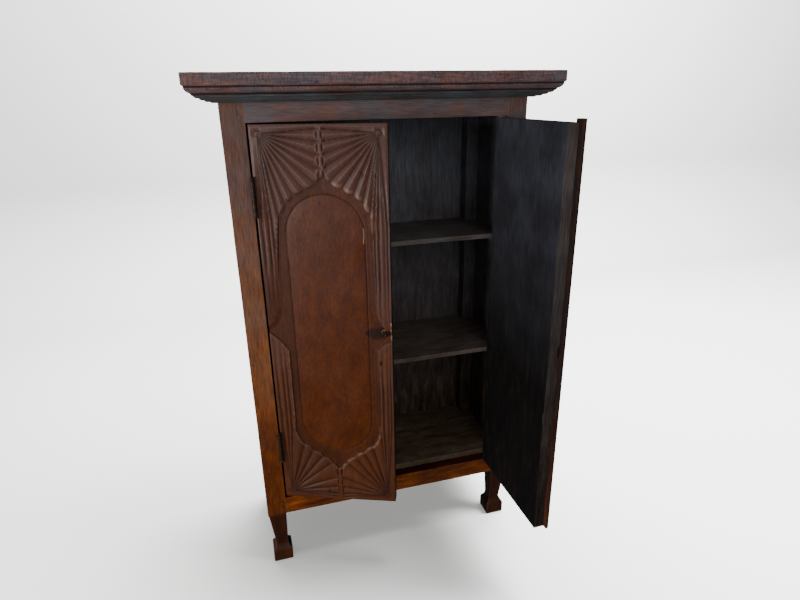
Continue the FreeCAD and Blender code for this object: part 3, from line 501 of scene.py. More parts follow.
        shader.inputs["IOR"].default_value = 1.45
        shader.inputs["Specular IOR Level"].default_value = self.sheen_share
        tree.links.new(colour, shader.inputs["Base Color"])
        dull = remap(tree, cloud, 0.3, 0.7, self.roughness - 0.06, self.roughness + 0.14)
        rough = maths(tree, "MULTIPLY_ADD", grime, 0.3, dull, clamp=True)
        tree.links.new(rough, shader.inputs["Roughness"])
        ridges = maths(tree, "MULTIPLY_ADD", figure, 0.7, fibre)
        add_bump(tree, shader, maths(tree, "SUBTRACT", ridges, specks), 0.8, self.relief_mm)
        return made

    def old_marks(self, tree: NodeTree,
                  colour: NodeSocket) -> tuple[NodeSocket, NodeSocket]:
        """Dirt and painted shade in hollows, old stains, and scratches with painted highlights,
        from the attributes that a carved piece holds.

        Args:
            tree: The material's node tree.
            colour: The wood's colour so far.

        Returns:
            The colour with them, and the amount of dirt and painted shade.
        """
        grime = 0.0
        shades = {"grime": self.soot, "stain": "#090706", "scratch": "#a07d64"}
        for name, shade in shades.items():
            if name in self.marks:
                amount = amount_of(tree, name)
                colour = mix(tree, amount, colour, linear(shade))
                grime = amount if name == "grime" else grime
        return colour, grime


@dataclass(frozen=True)
class ForgedIron:
    """Wrought iron, blackened in the forge, with rust in its hollows: dull and a little rough."""

    name: str
    metal: str = "#1c1917"
    rust: str = "#3a2114"
    # Hammer and scale marks are a few millimetres wide.
    scale_mm: float = 3.0
    relief_mm: float = 0.3
    roughness: float = 0.55
    metallic: float = 0.75

    def material(self) -> Material:
        """Builds the material."""
        made, tree, shader = shader_of(self.name)
        place = add_node(tree, "TexCoord").outputs["Object"]
        marks = cloudy(tree, place, self.scale_mm, 4.0)
        rusty = remap(tree, cloudy(tree, place, self.scale_mm * 4, 3.0), 0.45, 0.65)
        colour = mix(tree, rusty, linear(self.metal), linear(self.rust))
        tree.links.new(colour, shader.inputs["Base Color"])
        shader.inputs["Metallic"].default_value = self.metallic
        rough = remap(tree, marks, 0.3, 0.7, self.roughness - 0.12, self.roughness + 0.2)
        tree.links.new(rough, shader.inputs["Roughness"])
        add_bump(tree, shader, marks, 0.6, self.relief_mm)
        return made


@dataclass(frozen=True)
class PaintedFloor:
    """A smooth floor and wall in matt pale grey paint: even, with hardly any sheen."""

    name: str
    colour: str = "#eeeeec"
    roughness: float = 0.9
    # Light that stands for the rest of the bright room, which the floor and wall would pass on.
    glow: float = 0.3

    def material(self) -> Material:
        """Builds the material."""
        made, _, shader = shader_of(self.name)
        looks = {"Base Color": linear(self.colour), "Emission Color": linear(self.colour),
                 "Emission Strength": self.glow, "Roughness": self.roughness}
        for name, value in looks.items():
            shader.inputs[name].default_value = value
        return made


class Finishes:
    """Every finish of the cupboard, each made once and shared by the pieces that have it."""

    def __init__(self) -> None:
        """Builds the materials."""
        def teak(name: str, grain: Grain, **looks: object) -> Material:
            """Makes a finish of teak from its name, its grain and what is particular to it."""
            return WaxedTeak(name, grain, **looks).material()

        # Bare wood inside the case, darkened as painted shade of the interior.
        bare_and_shaded = {"dark": "#2a221c", "heart": "#3d3129", "pale": "#53453a", "bloom": "#60646e",
                "worn": "#7a726c", "soot": "#0a0807", "roughness": 0.75, "relief_mm": 0.6,
                "sheen_share": 0.1, "bloom_amount": 0.9, "fibre_mm": 4.0, "speck_share": 0.0,
                "fibre_share": 0.4}
        # Near black: painted shade on the doors' inner faces and the legs' inner faces.
        shade_black = {"dark": "#050404", "heart": "#080606", "pale": "#140e0b", "bloom": "#303138",
                  "roughness": 0.85, "sheen_share": 0.1, "bloom_amount": 0.9, "edge_wear": 0.0,
                  "fibre_mm": 4.0, "warm_z_mm": 750.0, "grey_z_mm": 1350.0, "speck_share": 0.0,
                  "fibre_share": 0.35, "blotch_share": 0.8, "cloud_share": 0.9}
        shelves = {"dark": "#40342a", "heart": "#55473a", "pale": "#63564a", "bloom": "#65666a",
                   "worn": "#7a726c", "soot": "#14100d", "roughness": 0.75, "relief_mm": 0.6,
                   "sheen_share": 0.1, "bloom_amount": 0.9, "edge_wear": 0.2, "speck_share": 0.0,
                   "fibre_share": 0.3, "figure_mm": 30.0, "figure_stretch": 3.0}
        rail_knots = ((108.0, -388.0, 178.0, 7.0), (-395.0, -388.0, 170.0, 4.0))
        rail = {"bloom": "#4b4a4f", "bloom_amount": 1.0, "warm_z_mm": 600.0, "fibre_share": 0.4}
        upright = {"leg_dirt": True, "blotch_share": 0.35, "cloud_share": 0.3, "dark": "#4a2204",
                   "pale": "#6b3405"}
        # The two sides' posts differ in their painted leg shade and grey film: lit and shaded
        # copies of one finish.
        self.posts = {
            Side.LEFT: teak("waxed_teak_left_posts", Grain.ALONG_Z,
                            leg_tint=(1.0, 0.84, 0.55), **upright),
            Side.RIGHT: teak("waxed_teak_right_posts", Grain.ALONG_Z,
                             leg_tint=(1.0, 0.85, 0.65), bloom_amount=0.95, **upright),
        }
        self.panels = teak("waxed_teak_panels", Grain.ALONG_Z, dark="#341803", heart="#4c2506",
                           pale="#5f3109", figure_mm=34.0, fibre_share=0.5, blotch_share=0.3,
                           cloud_share=0.3)
        self.back = teak("bare_teak_back", Grain.ALONG_Z, dark="#33261a", heart="#4d3c2c",
                         pale="#67533f", bloom="#665f57", worn="#7a6a58", roughness=0.8,
                         sheen_share=0.08, bloom_amount=0.7, warm_z_mm=0.0, speck_share=0.15,
                         fibre_mm=4.0, cloud_share=0.35)
        self.rails = teak("waxed_teak_across", Grain.ALONG_X, knots=rail_knots, **rail)
        self.side_rails = teak("waxed_teak_deep", Grain.ALONG_Y, **rail)
        top = {"bloom": "#51565f", "bloom_amount": 0.97, "crackle_share": 0.6, "speck_share": 0.12,
               "sheen_share": 0.1, "film_level": 0.66, "marks": ("grime",)}
        # The underside is darkened as painted shade under the moulding's overhang.
        under = {"dark": "#1c120d", "heart": "#2a1d16", "pale": "#3a2a20", "bloom": "#4c555a",
                 "bloom_amount": 0.97, "speck_share": 0.0, "sheen_share": 0.03, "roughness": 0.65,
                 "film_level": 0.6, "marks": ("grime",)}
        self.cornice = teak("waxed_teak_cornice", Grain.ALONG_X, **top)
        self.cornice_sides = teak("waxed_teak_cornice_side", Grain.ALONG_Y, **top)
        self.cornice_under = teak("dull_teak_cornice_under", Grain.ALONG_X, **under)
        self.door = teak("waxed_teak_door", Grain.ALONG_Z, dark="#381702", heart="#411b02",
                         pale="#482002", bloom="#443434", worn="#57483e", figure_mm=26.0,
                         figure_stretch=2.2, fibre_mm=2.2, fibre_stretch=6.0, fibre_share=0.5,
                         edge_wear=0.0, warm_z_mm=600.0, grey_z_mm=1650.0,
                         speck_share=0.22, blotch_share=0.28, cloud_share=0.25,
                         film_level=0.45, marks=CARVED_MARKS)
        self.door_inside = teak("bare_teak_door_inside", Grain.ALONG_Z, **shade_black)
        self.door_edge = teak("bare_teak_door_edge", Grain.ALONG_Z, edge_wear=0.0, dark="#140d0b",
                              heart="#1e1815", pale="#2e2521", bloom="#4c4746", roughness=0.8,
                              sheen_share=0.1, speck_share=0.0)
        self.strip = teak("waxed_teak_strip", Grain.ALONG_Z, dark="#1e0f0a", heart="#34180f",
                          pale="#482515", bloom="#15110f", bloom_amount=1.1, warm_z_mm=300.0,
                          grey_z_mm=900.0, worn="#33261f")
        self.riser = teak("waxed_teak_riser", Grain.ALONG_X, dark="#210b08", heart="#33140e",
                          pale="#421d13")
        self.inside_upright = teak("bare_teak_upright", Grain.ALONG_Z, **bare_and_shaded)
        self.inside_across = teak("bare_teak_across", Grain.ALONG_X, **bare_and_shaded)
        self.shelves = teak("bare_teak_shelves", Grain.ALONG_X, **shelves)
        self.inside_deep = teak("bare_teak_deep", Grain.ALONG_Y, **bare_and_shaded)
        self.iron = ForgedIron("forged_iron").material()
        self.steel = ForgedIron("worn_steel", metal="#2b2826", rust="#1c1714", roughness=0.35,
                                metallic=0.9).material()
        self.brass = ForgedIron("tarnished_brass", metal="#7a5a2c", rust="#3b2a16", roughness=0.42,
                                metallic=1.0).material()


def only(piece: Object) -> None:
    """Selects one object, makes it active and leaves all others unselected."""
    bpy.ops.object.select_all(action="DESELECT")
    piece.select_set(True)
    bpy.context.view_layer.objects.active = piece


def enter_edit(piece: Object) -> None:
    """Opens a piece in edit mode with all of its mesh selected."""
    only(piece)
    bpy.ops.object.mode_set(mode="EDIT")
    bpy.ops.mesh.select_all(action="SELECT")


def leave_edit() -> None:
    """Goes back to object mode."""
    bpy.ops.object.mode_set(mode="OBJECT")


def set_order(mesh: Mesh) -> None:
    """Rebuilds a mesh in order of place, because extruding leaves it in no fixed order."""
    rank = sorted(range(len(mesh.vertices)), key=lambda i: tuple(mesh.vertices[i].co))
    points = [tuple(mesh.vertices[i].co) for i in rank]
    number = {old: new for new, old in enumerate(rank)}
    marks = {name: [mesh.attributes[name].data[i].value for i in rank]
             for name in CARVED_MARKS if name in mesh.attributes}
    faces = []
    for face in mesh.polygons:
        ring = [number[i] for i in face.vertices]
        first = ring.index(min(ring))
        faces.append(ring[first:] + ring[:first])
    mesh.clear_geometry()
    mesh.from_pydata(points, [], sorted(faces))
    for name, values in marks.items():
        held = mesh.attributes.get(name) or mesh.attributes.new(name, "FLOAT", "POINT")
        held.data.foreach_set("value", values)
    mesh.update()


def ease_edges(piece: Object, width: float, segments: int = 2, angle: float = 35.0) -> None:
    """Rounds a piece's sharp edges with an applied bevel.

    Args:
        piece: The piece.
        width: The bevel's width, in millimetres.
        segments: How many faces the bevel has.
        angle: Edges sharper than this many degrees are rounded.
    """
    only(piece)
    bevel = piece.modifiers.new("eased", "BEVEL")
    bevel.width = mm(width)
    bevel.segments = segments
    bevel.limit_method = "ANGLE"
    bevel.angle_limit = math.radians(angle)
    bpy.ops.object.modifier_apply(modifier=bevel.name)


def score(piece: Object, axis: int, step: float) -> None:
    """Divides a piece across one axis, so that its long edges can be made uneven.

    Args:
        piece: The piece.
        axis: The number of the axis that the cuts stand across.
        step: The distance between cuts, in millimetres.
    """
    low = min(v.co[axis] for v in piece.data.vertices)
    high = max(v.co[axis] for v in piece.data.vertices)
    count = int((high - low) / mm(step))
    normal = [0.0, 0.0, 0.0]
    normal[axis] = 1.0
    enter_edit(piece)
    for i in range(1, count):
        point = [0.0, 0.0, 0.0]
        point[axis] = low + (high - low) * i / count
        bpy.ops.mesh.select_all(action="SELECT")
        bpy.ops.mesh.bisect(plane_co=point, plane_no=normal)
    leave_edit()


def unevenness(point: Vector) -> Vector:
    """How far hand planing leaves a point of the wood off its true place, in metres."""
    slow = noise.noise_vector(point * 4.0) * mm(0.7)
    quick = noise.noise_vector(point * 22.0) * mm(0.3)
    return slow + quick


def hand_plane(piece: Object, node: str, wear: float = 0.8, seam: int | None = None) -> None:
    """Makes a piece's faces slightly uneven and dents its edges, all inside its node's box.

    Args:
        piece: The piece, with enough cuts along its length.
        node: The frame's node that it stands for.
        wear: The depth of the deepest dents on its edges, in millimetres.
        seam: The number of the axis along which it stays as it is, tight against its neighbours.
    """
    low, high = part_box(node)
    mesh = piece.data
    for vertex in mesh.vertices:
        place = vertex.co.copy()
        on_edge = max(abs(c) for c in vertex.normal) < 0.9
        dent = max(0.0, noise.noise(place * 31.0) - 0.1) * mm(wear) if on_edge else 0.0
        moved = place + unevenness(place) - vertex.normal * (mm(0.3) + dent)
        kept = [min(max(c, lo), hi) for c, lo, hi in zip(moved, low, high)]
        if seam is not None:
            kept[seam] = place[seam]
        vertex.co = kept
    mesh.update()


def line_inside(piece: Object, finish: Material) -> None:
    """Gives a second, darker finish to the faces that look into the case: bare wood, with painted
    shade.

    Args:
        piece: The piece, with its outer finish in place.
        finish: The finish of the faces inside.
    """
    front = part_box("post_front_left")[0].y + mm(36)
    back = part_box("back_board_1")[0].y
    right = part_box("side_panel_right")[0].x
    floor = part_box("floor_board_1")[0].z
    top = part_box("top_board_1")[0].z
    piece.data.materials.append(finish)
    for face in piece.data.polygons:
        x, y, z = face.center + face.normal * mm(3)
        if abs(x) < right and front < y < back and floor < z < top:
            face.material_index = 1


def dress(piece: Object, body: str, slot: str, *nodes: str) -> Object:
    """Smooths a finished piece and ties it to the frame.

    Args:
        piece: The finished mesh, in place, with its materials.
        body: The frame's body that it rides on.
        slot: The record's material slot. Not used.
        *nodes: The frame's nodes that it stands for.

    Returns:
        The piece.
    """
    only(piece)
    bpy.ops.object.shade_smooth_by_angle(angle=math.radians(32))
    if body == CASE:
        # Broad faces set the shading, so that a dented arris doesn't darken the face beside it.
        weigh = piece.modifiers.new("weighed", "WEIGHTED_NORMAL")
        weigh.keep_sharp = True
        bpy.ops.object.modifier_apply(modifier=weigh.name)
        for vertex in piece.data.vertices:
            vertex.co = [min(max(c, lo), hi) for c, lo, hi in zip(vertex.co, *CAD_BOX)]
    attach(piece, body)
    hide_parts(*nodes)
    LOG.info("%s: %d faces, on %s", piece.name, len(piece.data.polygons), body)
    return piece


def settle(piece: Object) -> None:
    """Moves a piece's place and size into its mesh, so that its object sits at the origin."""
    only(piece)
    bpy.ops.object.transform_apply(location=True, rotation=True, scale=True)


def block(name: str, low: Vector, high: Vector) -> Object:
    """Adds a squared timber between two corners, to be worked further.

    Args:
        name: The piece's name.
        low: Its lowest corner, in metres.
        high: Its highest corner, in metres.

    Returns:
        The new object, at the origin.
    """
    bpy.ops.object.select_all(action="DESELECT")
    bpy.ops.mesh.primitive_cube_add(size=1.0, location=(low + high) / 2)
    piece = bpy.context.object
    piece.scale = high - low
    piece.name = name
    settle(piece)
    return piece


def copy_of_node(node: str, name: str) -> Object:
    """Copies a node of the frame and joins its loose triangles into clean faces.

    Args:
        node: The node's name.
        name: The new piece's name.

    Returns:
        The copy, tied to nothing.
    """
    only(frame["nodes"][node])
    bpy.ops.object.duplicate()
    piece = bpy.context.object
    piece.parent = None
    piece.matrix_world = Matrix.Identity(4)
    piece.name = name
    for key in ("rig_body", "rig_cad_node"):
        del piece[key]
    piece.data.materials.clear()
    enter_edit(piece)
    bpy.ops.mesh.remove_doubles(threshold=mm(0.002))
    bpy.ops.mesh.dissolve_limited(angle_limit=math.radians(0.5))
    leave_edit()
    return piece


@dataclass
class Case:
    """The joined case: posts with legs, rails, panels, boards, shelves and the top."""

    finishes: Finishes
    post_side: float = 65.0
    shoulder_z: float = 204.0
    shoulder_drop: float = 6.0
    leg_top_side: float = 60.0
    leg_low_side: float = 40.0
    foot_side: float = 67.0
    foot_height: float = 64.0
    foot_face: float = 46.0
    foot_inset: float = 6.0
    edge: float = 2.0
    # Half of the gap between two boards of the back, which dirt has filled.
    half_gap: float = 0.5

    def post(self, side: Side, front: bool) -> None:
        """Works one post from a squared timber, its leg and foot drawn out of the lower end."""
        node = f"post_{'front' if front else 'rear'}_{side.word}"
        low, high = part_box(node)
        outer = high.x if side is Side.RIGHT else low.x
        inner = outer - side.value * mm(self.post_side)
        across = mm(self.post_side)
        depth = (low.y, low.y + across) if front else (high.y - across, high.y)
        start = Vector((min(outer, inner), depth[0], mm(self.shoulder_z)))
        end = Vector((max(outer, inner), depth[1], high.z))
        piece = block(node + "_timber", start, end)
        middle = (start + end) / 2
        foot_y = low.y + mm(self.foot_side / 2) if front else high.y - mm(self.foot_side / 2)
        foot = Vector((middle.x - side.value * mm(self.foot_inset), foot_y, 0))
        self.draw_out_leg(piece, middle, foot)
        score(piece, 2, 60.0)
        self.part(piece, 1, depth[0] + mm(36))
        hand_plane(piece, node, 1.8)
        ease_edges(piece, self.edge)
        piece.data.materials.append(self.finishes.posts[side])
        line_inside(piece, self.finishes.inside_upright)
        # The legs' inner faces below the shoulder take the near-black finish as painted shade.
        piece.data.materials.append(self.finishes.door_inside)
        for face in piece.data.polygons:
            if face.center.z < mm(self.shoulder_z) and face.normal.x * side.value < -0.7:
                face.material_index = 2
        dress(piece, CASE, "case_wood", node)

    def part(self, piece: Object, axis: int, place: float) -> None:
        """Cuts a piece's faces along a plane, where its finish changes.

        Args:
            piece: The piece.
            axis: The number of the axis that the plane stands across.
            place: Where on that axis the plane is, in metres.
        """
        point = [0.0, 0.0, 0.0]
        normal = [0.0, 0.0, 0.0]
        point[axis] = place
        normal[axis] = 1.0
        enter_edit(piece)
        bpy.ops.mesh.bisect(plane_co=point, plane_no=normal)
        leave_edit()

    def draw_out_leg(self, piece: Object, middle: Vector, foot: Vector) -> None:
        """Extrudes the lower end of a post into its shoulder, leg and foot.

        Args:
            piece: The post.
            middle: The post's centre line.
            foot: The foot's centre, on the floor.
        """
        hollow = (self.leg_low_side + self.foot_side) / 2 - 4
        steps = [
            (self.shoulder_z - self.shoulder_drop, self.leg_top_side, middle),
            (self.foot_height + 8, self.leg_low_side + 1, foot),
            (self.foot_height, self.leg_low_side + 3, foot),
            ((self.foot_height + self.foot_face) / 2, hollow, foot),
            (self.foot_face + 2, self.foot_side - 4, foot),
            (self.foot_face - 4, self.foot_side, foot),
            (3.0, self.foot_side, foot),
            (0.0, self.foot_side - 6, foot),
        ]
        enter_edit(piece)
        bpy.ops.mesh.select_mode(type="FACE")
        bpy.ops.mesh.select_all(action="DESELECT")
        leave_edit()
        lowest = min(piece.data.polygons, key=lambda p: p.center.z)
        lowest.select = True
        bpy.ops.object.mode_set(mode="EDIT")
        at = Vector((middle.x, middle.y, mm(self.shoulder_z)))
        side_now = self.post_side
        for z, side, centre in steps:
            target = Vector((centre.x, centre.y, mm(z)))
            bpy.ops.mesh.extrude_region_move(TRANSFORM_OT_translate={"value": target - at})
            share = side / side_now
            bpy.ops.transform.resize(value=(share, share, 1), center_override=target)
            at = target
            side_now = side
        leave_edit()
        set_order(piece.data)

    def board(self, node: str, axis: int, finish: Material, inner: Material,
              slot: str, trim: float = 0.0, seam: int | None = None) -> None:
        """Works a plain board or rail from a squared timber in its node's place.

        Args:
            node: The node that it stands for.
            axis: The number of the axis that it is long in.
            finish: The finish of its outer faces.
            inner: The finish of its faces inside the case.
            slot: The record's material slot.
            trim: How much of each end is hidden in a joint and left out, in millimetres.
            seam: The number of the axis along which it lies tight against its neighbours.
        """
        low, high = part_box(node)
        low[axis] += mm(trim)
        high[axis] -= mm(trim)
        if seam is not None:
            low[seam] -= mm(self.half_gap)
            high[seam] += mm(self.half_gap)
        piece = block(node + "_timber", low, high)
        score(piece, axis, 70.0)
        hand_plane(piece, node, 1.0, seam)
        ease_edges(piece, self.edge * 0.6)
        piece.data.materials.append(finish)
        line_inside(piece, inner)
        if node == "rail_front_bottom":
            self.redden_riser(piece)
        dress(piece, CASE, slot, node)

    def redden_riser(self, piece: Object) -> None:
        """Gives the bottom rail's top, where the doors shut on it, its darker red: the wood's own
        red with painted shade of the gap below the floor's edge.
        """
        piece.data.materials.append(self.finishes.riser)
        for face in piece.data.polygons:
            if face.normal.z > 0.6:
                face.material_index = 2

    def rails(self) -> None:
        """All eight rails. Their tenons lie inside the posts and are left out."""
        tenon = 28.0
        done = self.finishes
        for height in ("top", "bottom"):
            for place in ("front", "rear"):
                self.board(f"rail_{place}_{height}", 0, done.rails, done.inside_across,
                           "case_wood", tenon)
            for side in Side:
                self.board(f"rail_{side.word}_{height}", 1, done.side_rails, done.inside_deep,
                           "case_wood", tenon)

    def panels(self) -> None:
        """Side panels, and the upright boards of the back."""
        done = self.finishes
        for side in Side:
            self.board(f"side_panel_{side.word}", 2, done.panels, done.inside_upright, "case_wood")
        for i in range(1, 6):
            self.board(f"back_board_{i}", 2, done.back, done.inside_upright, "inner_wood", seam=0)

    def boards(self) -> None:
        """Floor boards, shelves with their bearers, and top boards."""
        names = [f"floor_board_{i}" for i in range(1, 4)] + ["shelf_upper", "shelf_lower"]
        names += [f"top_board_{i}" for i in range(1, 4)]
        for name in names:
            piece = copy_of_node(name, name + "_timber")
            score(piece, 0, 70.0)
            hand_plane(piece, name, 1.4, None if name.startswith("shelf") else 1)
            ease_edges(piece, self.edge)
            piece.data.materials.append(self.finishes.shelves)
            dress(piece, CASE, "inner_wood", name)
        deep = self.finishes.inside_deep
        for height in ("upper", "lower"):
            for side in Side:
                self.board(f"shelf_bearer_{height}_{side.word}", 1, deep, deep, "inner_wood")

    def build(self) -> None:
        """Builds every piece of the case."""
        for side in Side:
            self.post(side, True)
            self.post(side, False)
        self.rails()
        self.panels()
        self.boards()


@dataclass
class Cornice:
    """The three lengths of reeded moulding round the top, mitred at the front corners."""

    finishes: Finishes
    edge: float = 1.2
    # Heights of the two quirks, darkened with dirt and painted shade, above the foot of the
    # moulding.
    quirks: tuple = (22.0, 38.7)
    quirk_reach: float = 2.2
    sliver: float = 1.1

    def join_slivers(self, piece: Object) -> None:
        """Joins the points of the profile that lie too close together to be dented apart."""
        enter_edit(piece)
        bpy.ops.mesh.remove_doubles(threshold=mm(self.sliver))
        leave_edit()

    def blacken_quirks(self, piece: Object, foot: float) -> None:
        """Marks dirt and painted shade in the two quirks on a length of moulding.

        Args:
            piece: The length.
            foot: The height of its lowest edge, in metres.
        """
        dirt = piece.data.attributes.new("grime", "FLOAT", "POINT")
        for vertex, value in zip(piece.data.vertices, dirt.data):
            rise = (vertex.co.z - foot) * 1000
            near = min(abs(rise - quirk) for quirk in self.quirks)
            value.value = 0.85 if near < self.quirk_reach else 0.0

    def build(self) -> None:
        """Works each length from its node, with uneven and dented arrises."""
        lengths = {"cornice_front": (0, self.finishes.cornice),
                   "cornice_left": (1, self.finishes.cornice_sides),
                   "cornice_right": (1, self.finishes.cornice_sides)}
        for node, (axis, finish) in lengths.items():
            piece = copy_of_node(node, node + "_moulding")
            score(piece, axis, 28.0)
            self.join_slivers(piece)
            hand_plane(piece, node, 1.8)
            ease_edges(piece, self.edge, angle=50.0)
            piece.data.materials.append(finish)
            piece.data.materials.append(self.finishes.cornice_under)
            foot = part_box(node)[0].z
            # Low faces that look down take the dark finish of painted shade.
            for face in piece.data.polygons:
                low_down = face.center.z < foot + mm(self.quirks[0])
                face.material_index = int(low_down and face.normal.z < -0.5)
            self.blacken_quirks(piece, foot)
            dress(piece, CASE, "cornice_wood", node)


Points = list[tuple[float, float]]


def distance_to(place: np.ndarray, line: Points) -> np.ndarray:
    """The distance of many points from a line of straight stretches.

    Args:
        place: Points, one to a row.
        line: The line's corners.

    Returns:
        One distance for each point.
    """
    best = np.full(len(place), np.inf)
    for start, end in zip(line, line[1:]):
        a = np.array(start)
        along = np.array(end) - a
        share = np.clip((place - a) @ along / max(along @ along, 1e-9), 0, 1)
        best = np.minimum(best, np.linalg.norm(place - a - share[:, None] * along, axis=1))
    return best


def inside(place: np.ndarray, outline: Points) -> np.ndarray:
    """Tells which of many points lie inside a closed outline.

    Args:
        place: Points, one to a row.
        outline: The outline's corners, without the first repeated.

    Returns:
        True or False for each point.
    """
    within = np.zeros(len(place), bool)
    for (x0, y0), (x1, y1) in zip(outline, outline[1:] + outline[:1]):
        spans = (y0 > place[:, 1]) != (y1 > place[:, 1])
        rise = y1 - y0 if y1 != y0 else 1e-9
        within ^= spans & (place[:, 0] < (x1 - x0) * (place[:, 1] - y0) / rise + x0)
    return within


def arc(start: tuple[float, float], end: tuple[float, float], bulge: float,
        steps: int = 6) -> Points:
    """A shallow curve between two points, without the last.

    Args:
        start: The first point.
        end: The last point.
        bulge: The height of the curve, as a share of its chord, to the right of the way to the end.
        steps: How many points it has.

    Returns:
        Its points.
    """
    dx = end[0] - start[0]
    dy = end[1] - start[1]
    made = []
    for i in range(steps):
        t = i / steps
        lift = 4 * bulge * t * (1 - t)
        made.append((start[0] + dx * t + dy * lift, start[1] + dy * t - dx * lift))
    return made


@dataclass
class Carving:
    """The carved front of a door, as depths below its front plane.

    Places are in millimetres: s from the hinge edge, z from the lower edge. A sunk field with an
    arched head and a round foot fills the middle. A fan of rays spreads from each corner to the
    field and to an upright bar, and its steepest rays run on as reeds beside the field.
    """

    width: float
    height: float
    off_centre: float = 4.0
    half_width: float = 135.0
    sunk: float = 4.0
    apex_z: float = 1078.0
    spring_z: float = 947.0
    foot_z: float = 126.0
    foot_spring_z: float = 271.0
    head_cusp_shares: tuple = ((0.16, 0.91), (0.41, 0.78), (0.64, 0.65), (0.83, 0.49), (0.97, 0.23))
    foot_cusp_shares: tuple = ((0.17, 0.88), (0.38, 0.70), (0.62, 0.56), (0.84, 0.40))
    scallop: float = 0.17
    bar: float = 6.5
    bar_drops: tuple = (12.0, 44.0, 79.0, 116.0)
    bar_rises: tuple = (7.0, 20.0, 48.0, 86.0)
    hub_inset: float = 24.0
    hub_radius: float = 8.0
    # Places of the cuts between reeds, as shares of the band beside the field.
    hinge_reed_shares: tuple = (0.2, 0.52, 0.74)
    free_reed_shares: tuple = (0.14, 0.30, 0.62, 0.86)
    # The field is wider on the hinge side above its waist.
    wide_half: float = 149.0
    bead: float = 5.0
    ray_depth: float = 4.6
    ray_end: float = 9.0
    reed_end: float = 4.0
    line_inset: float = 21.0
    line_top: float = 1033.0
    line_low: float = 195.0

    @property
    def centre(self) -> float:
        """The carving's centre line."""
        return self.width / 2 + self.off_centre

    def waist(self, sign: int) -> tuple[float, float, float, float]:
        """The upper and lower lips of the field's waist on one side, and their reaches."""
        return (622.0, 80.0, 592.0, 60.0) if sign > 0 else (634.0, 150.0, 616.0, 66.0)

    def waist_curve(self, sign: int, lip: float, reach: float, half: float) -> Points:
        """A quarter of an ellipse from the field's side to the door's edge.

        Args:
            sign: 1 towards the free edge, -1 towards the hinge.
            lip: The height at which it meets the edge.
            reach: How far from the lip it leaves the field's side, up or down.
            half: The field's half width there.

        Returns:
            Its points, from the side to the edge.
        """
        edge = (self.width - self.centre if sign > 0 else self.centre) + 3
        steps = 12
        # The lowest curve on the hinge side is nearly straight, so that it ends in a point.
        straight = 0.75 if sign < 0 and reach < 0 else 0.0
        made = []
        for i in range(steps + 1):
            turn = math.pi / 2 * i / steps
            share = i / steps
            out = (1 - math.cos(turn)) * (1 - straight) + share * straight
            rise = (1 - math.sin(turn)) * (1 - straight) + (1 - share) * straight
            made.append((self.centre + sign * (half + (edge - half) * out), lip + reach * rise))
        return made

    def half_outline(self, sign: int) -> Points:
        """The field's outline on one side, from its apex down to its foot."""
        rise = self.apex_z - self.spring_z
        fall = self.foot_spring_z - self.foot_z
        rim_u = self.half_width
        head = [(self.bar, self.apex_z)]
        head += [(u * rim_u, self.spring_z + v * rise) for u, v in self.head_cusp_shares]
        foot = [(u * rim_u, self.foot_spring_z - v * fall)
                for u, v in reversed(self.foot_cusp_shares)]
        foot.append((self.bar, self.foot_z))
        upper, rise_up, lower, fall_down = self.waist(sign)
        made = self.scalloped(sign, head)
        made += self.waist_curve(sign, upper, rise_up, rim_u if sign > 0 else self.wide_half)
        made += reversed(self.waist_curve(sign, lower, -fall_down, rim_u))
        made += arc((self.centre + sign * rim_u, self.foot_spring_z + fall * 0.2),
                    (self.centre + sign * foot[0][0], foot[0][1]), -sign * 0.12)
        return made + self.scalloped(sign, foot)

    def scalloped(self, sign: int, cusps: Points) -> Points:
        """Joins the ends of the cuts between rays by the rays' rounded ends.

        Args:
            sign: 1 towards the free edge, -1 towards the hinge.
            cusps: The cuts' ends, from the carving's centre line, on one side.

        Returns:
            The points of the joined arcs.
        """
        run = [(self.centre + sign * u, z) for u, z in cusps]
        made = []
        for start, end in zip(run, run[1:]):
            made += arc(start, end, sign * self.scallop)
        return made + [run[-1]]

    def outline(self) -> Points:
        """The whole outline of the sunk field."""
        return self.half_outline(1) + self.half_outline(-1)[::-1]

    def hub(self, sign: int, top: bool) -> tuple[float, float]:
        """The centre of a corner's fan."""
        s = self.width - self.hub_inset if sign > 0 else self.hub_inset
        return s, self.height - self.hub_inset if top else self.hub_inset

    def rays(self, sign: int, top: bool) -> list[Points]:
        """The cuts between one fan's rays, as far as the bar and the field."""
        x, z = self.hub(sign, top)
        inner = self.centre + sign * self.bar
        if top:
            ends = [(inner, self.height - drop) for drop in self.bar_drops]
            rise = self.apex_z - self.spring_z
            ends += [(self.centre + sign * u * self.half_width, self.spring_z + v * rise)
                     for u, v in self.head_cusp_shares]
        else:
            ends = [(inner, rise) for rise in self.bar_rises]
            fall = self.foot_spring_z - self.foot_z
            ends += [(self.centre + sign * u * self.half_width, self.foot_spring_z - v * fall)
                     for u, v in self.foot_cusp_shares]
        made = []
        for end in ends:
            length = math.hypot(end[0] - x, end[1] - z)
            share = self.hub_radius * 1.5 / length
            made.append([(x + (end[0] - x) * share, z + (end[1] - z) * share), end])
        return made

    def reeds(self, sign: int, top: bool) -> list[Points]:
        """The cuts that run on from a fan as reeds beside the field."""
        edge = self.width if sign > 0 else 0.0
        band = abs(edge - (self.centre + sign * self.half_width))
        lips = self.waist(sign)
        made = []
        for share in self.free_reed_shares if sign > 0 else self.hinge_reed_shares:
            s = edge - sign * band * share
            bend = self.spring_z if top else self.foot_spring_z
            made.append([self.hub(sign, top), (s, bend), (s, lips[0] if top else lips[2])])
        return made

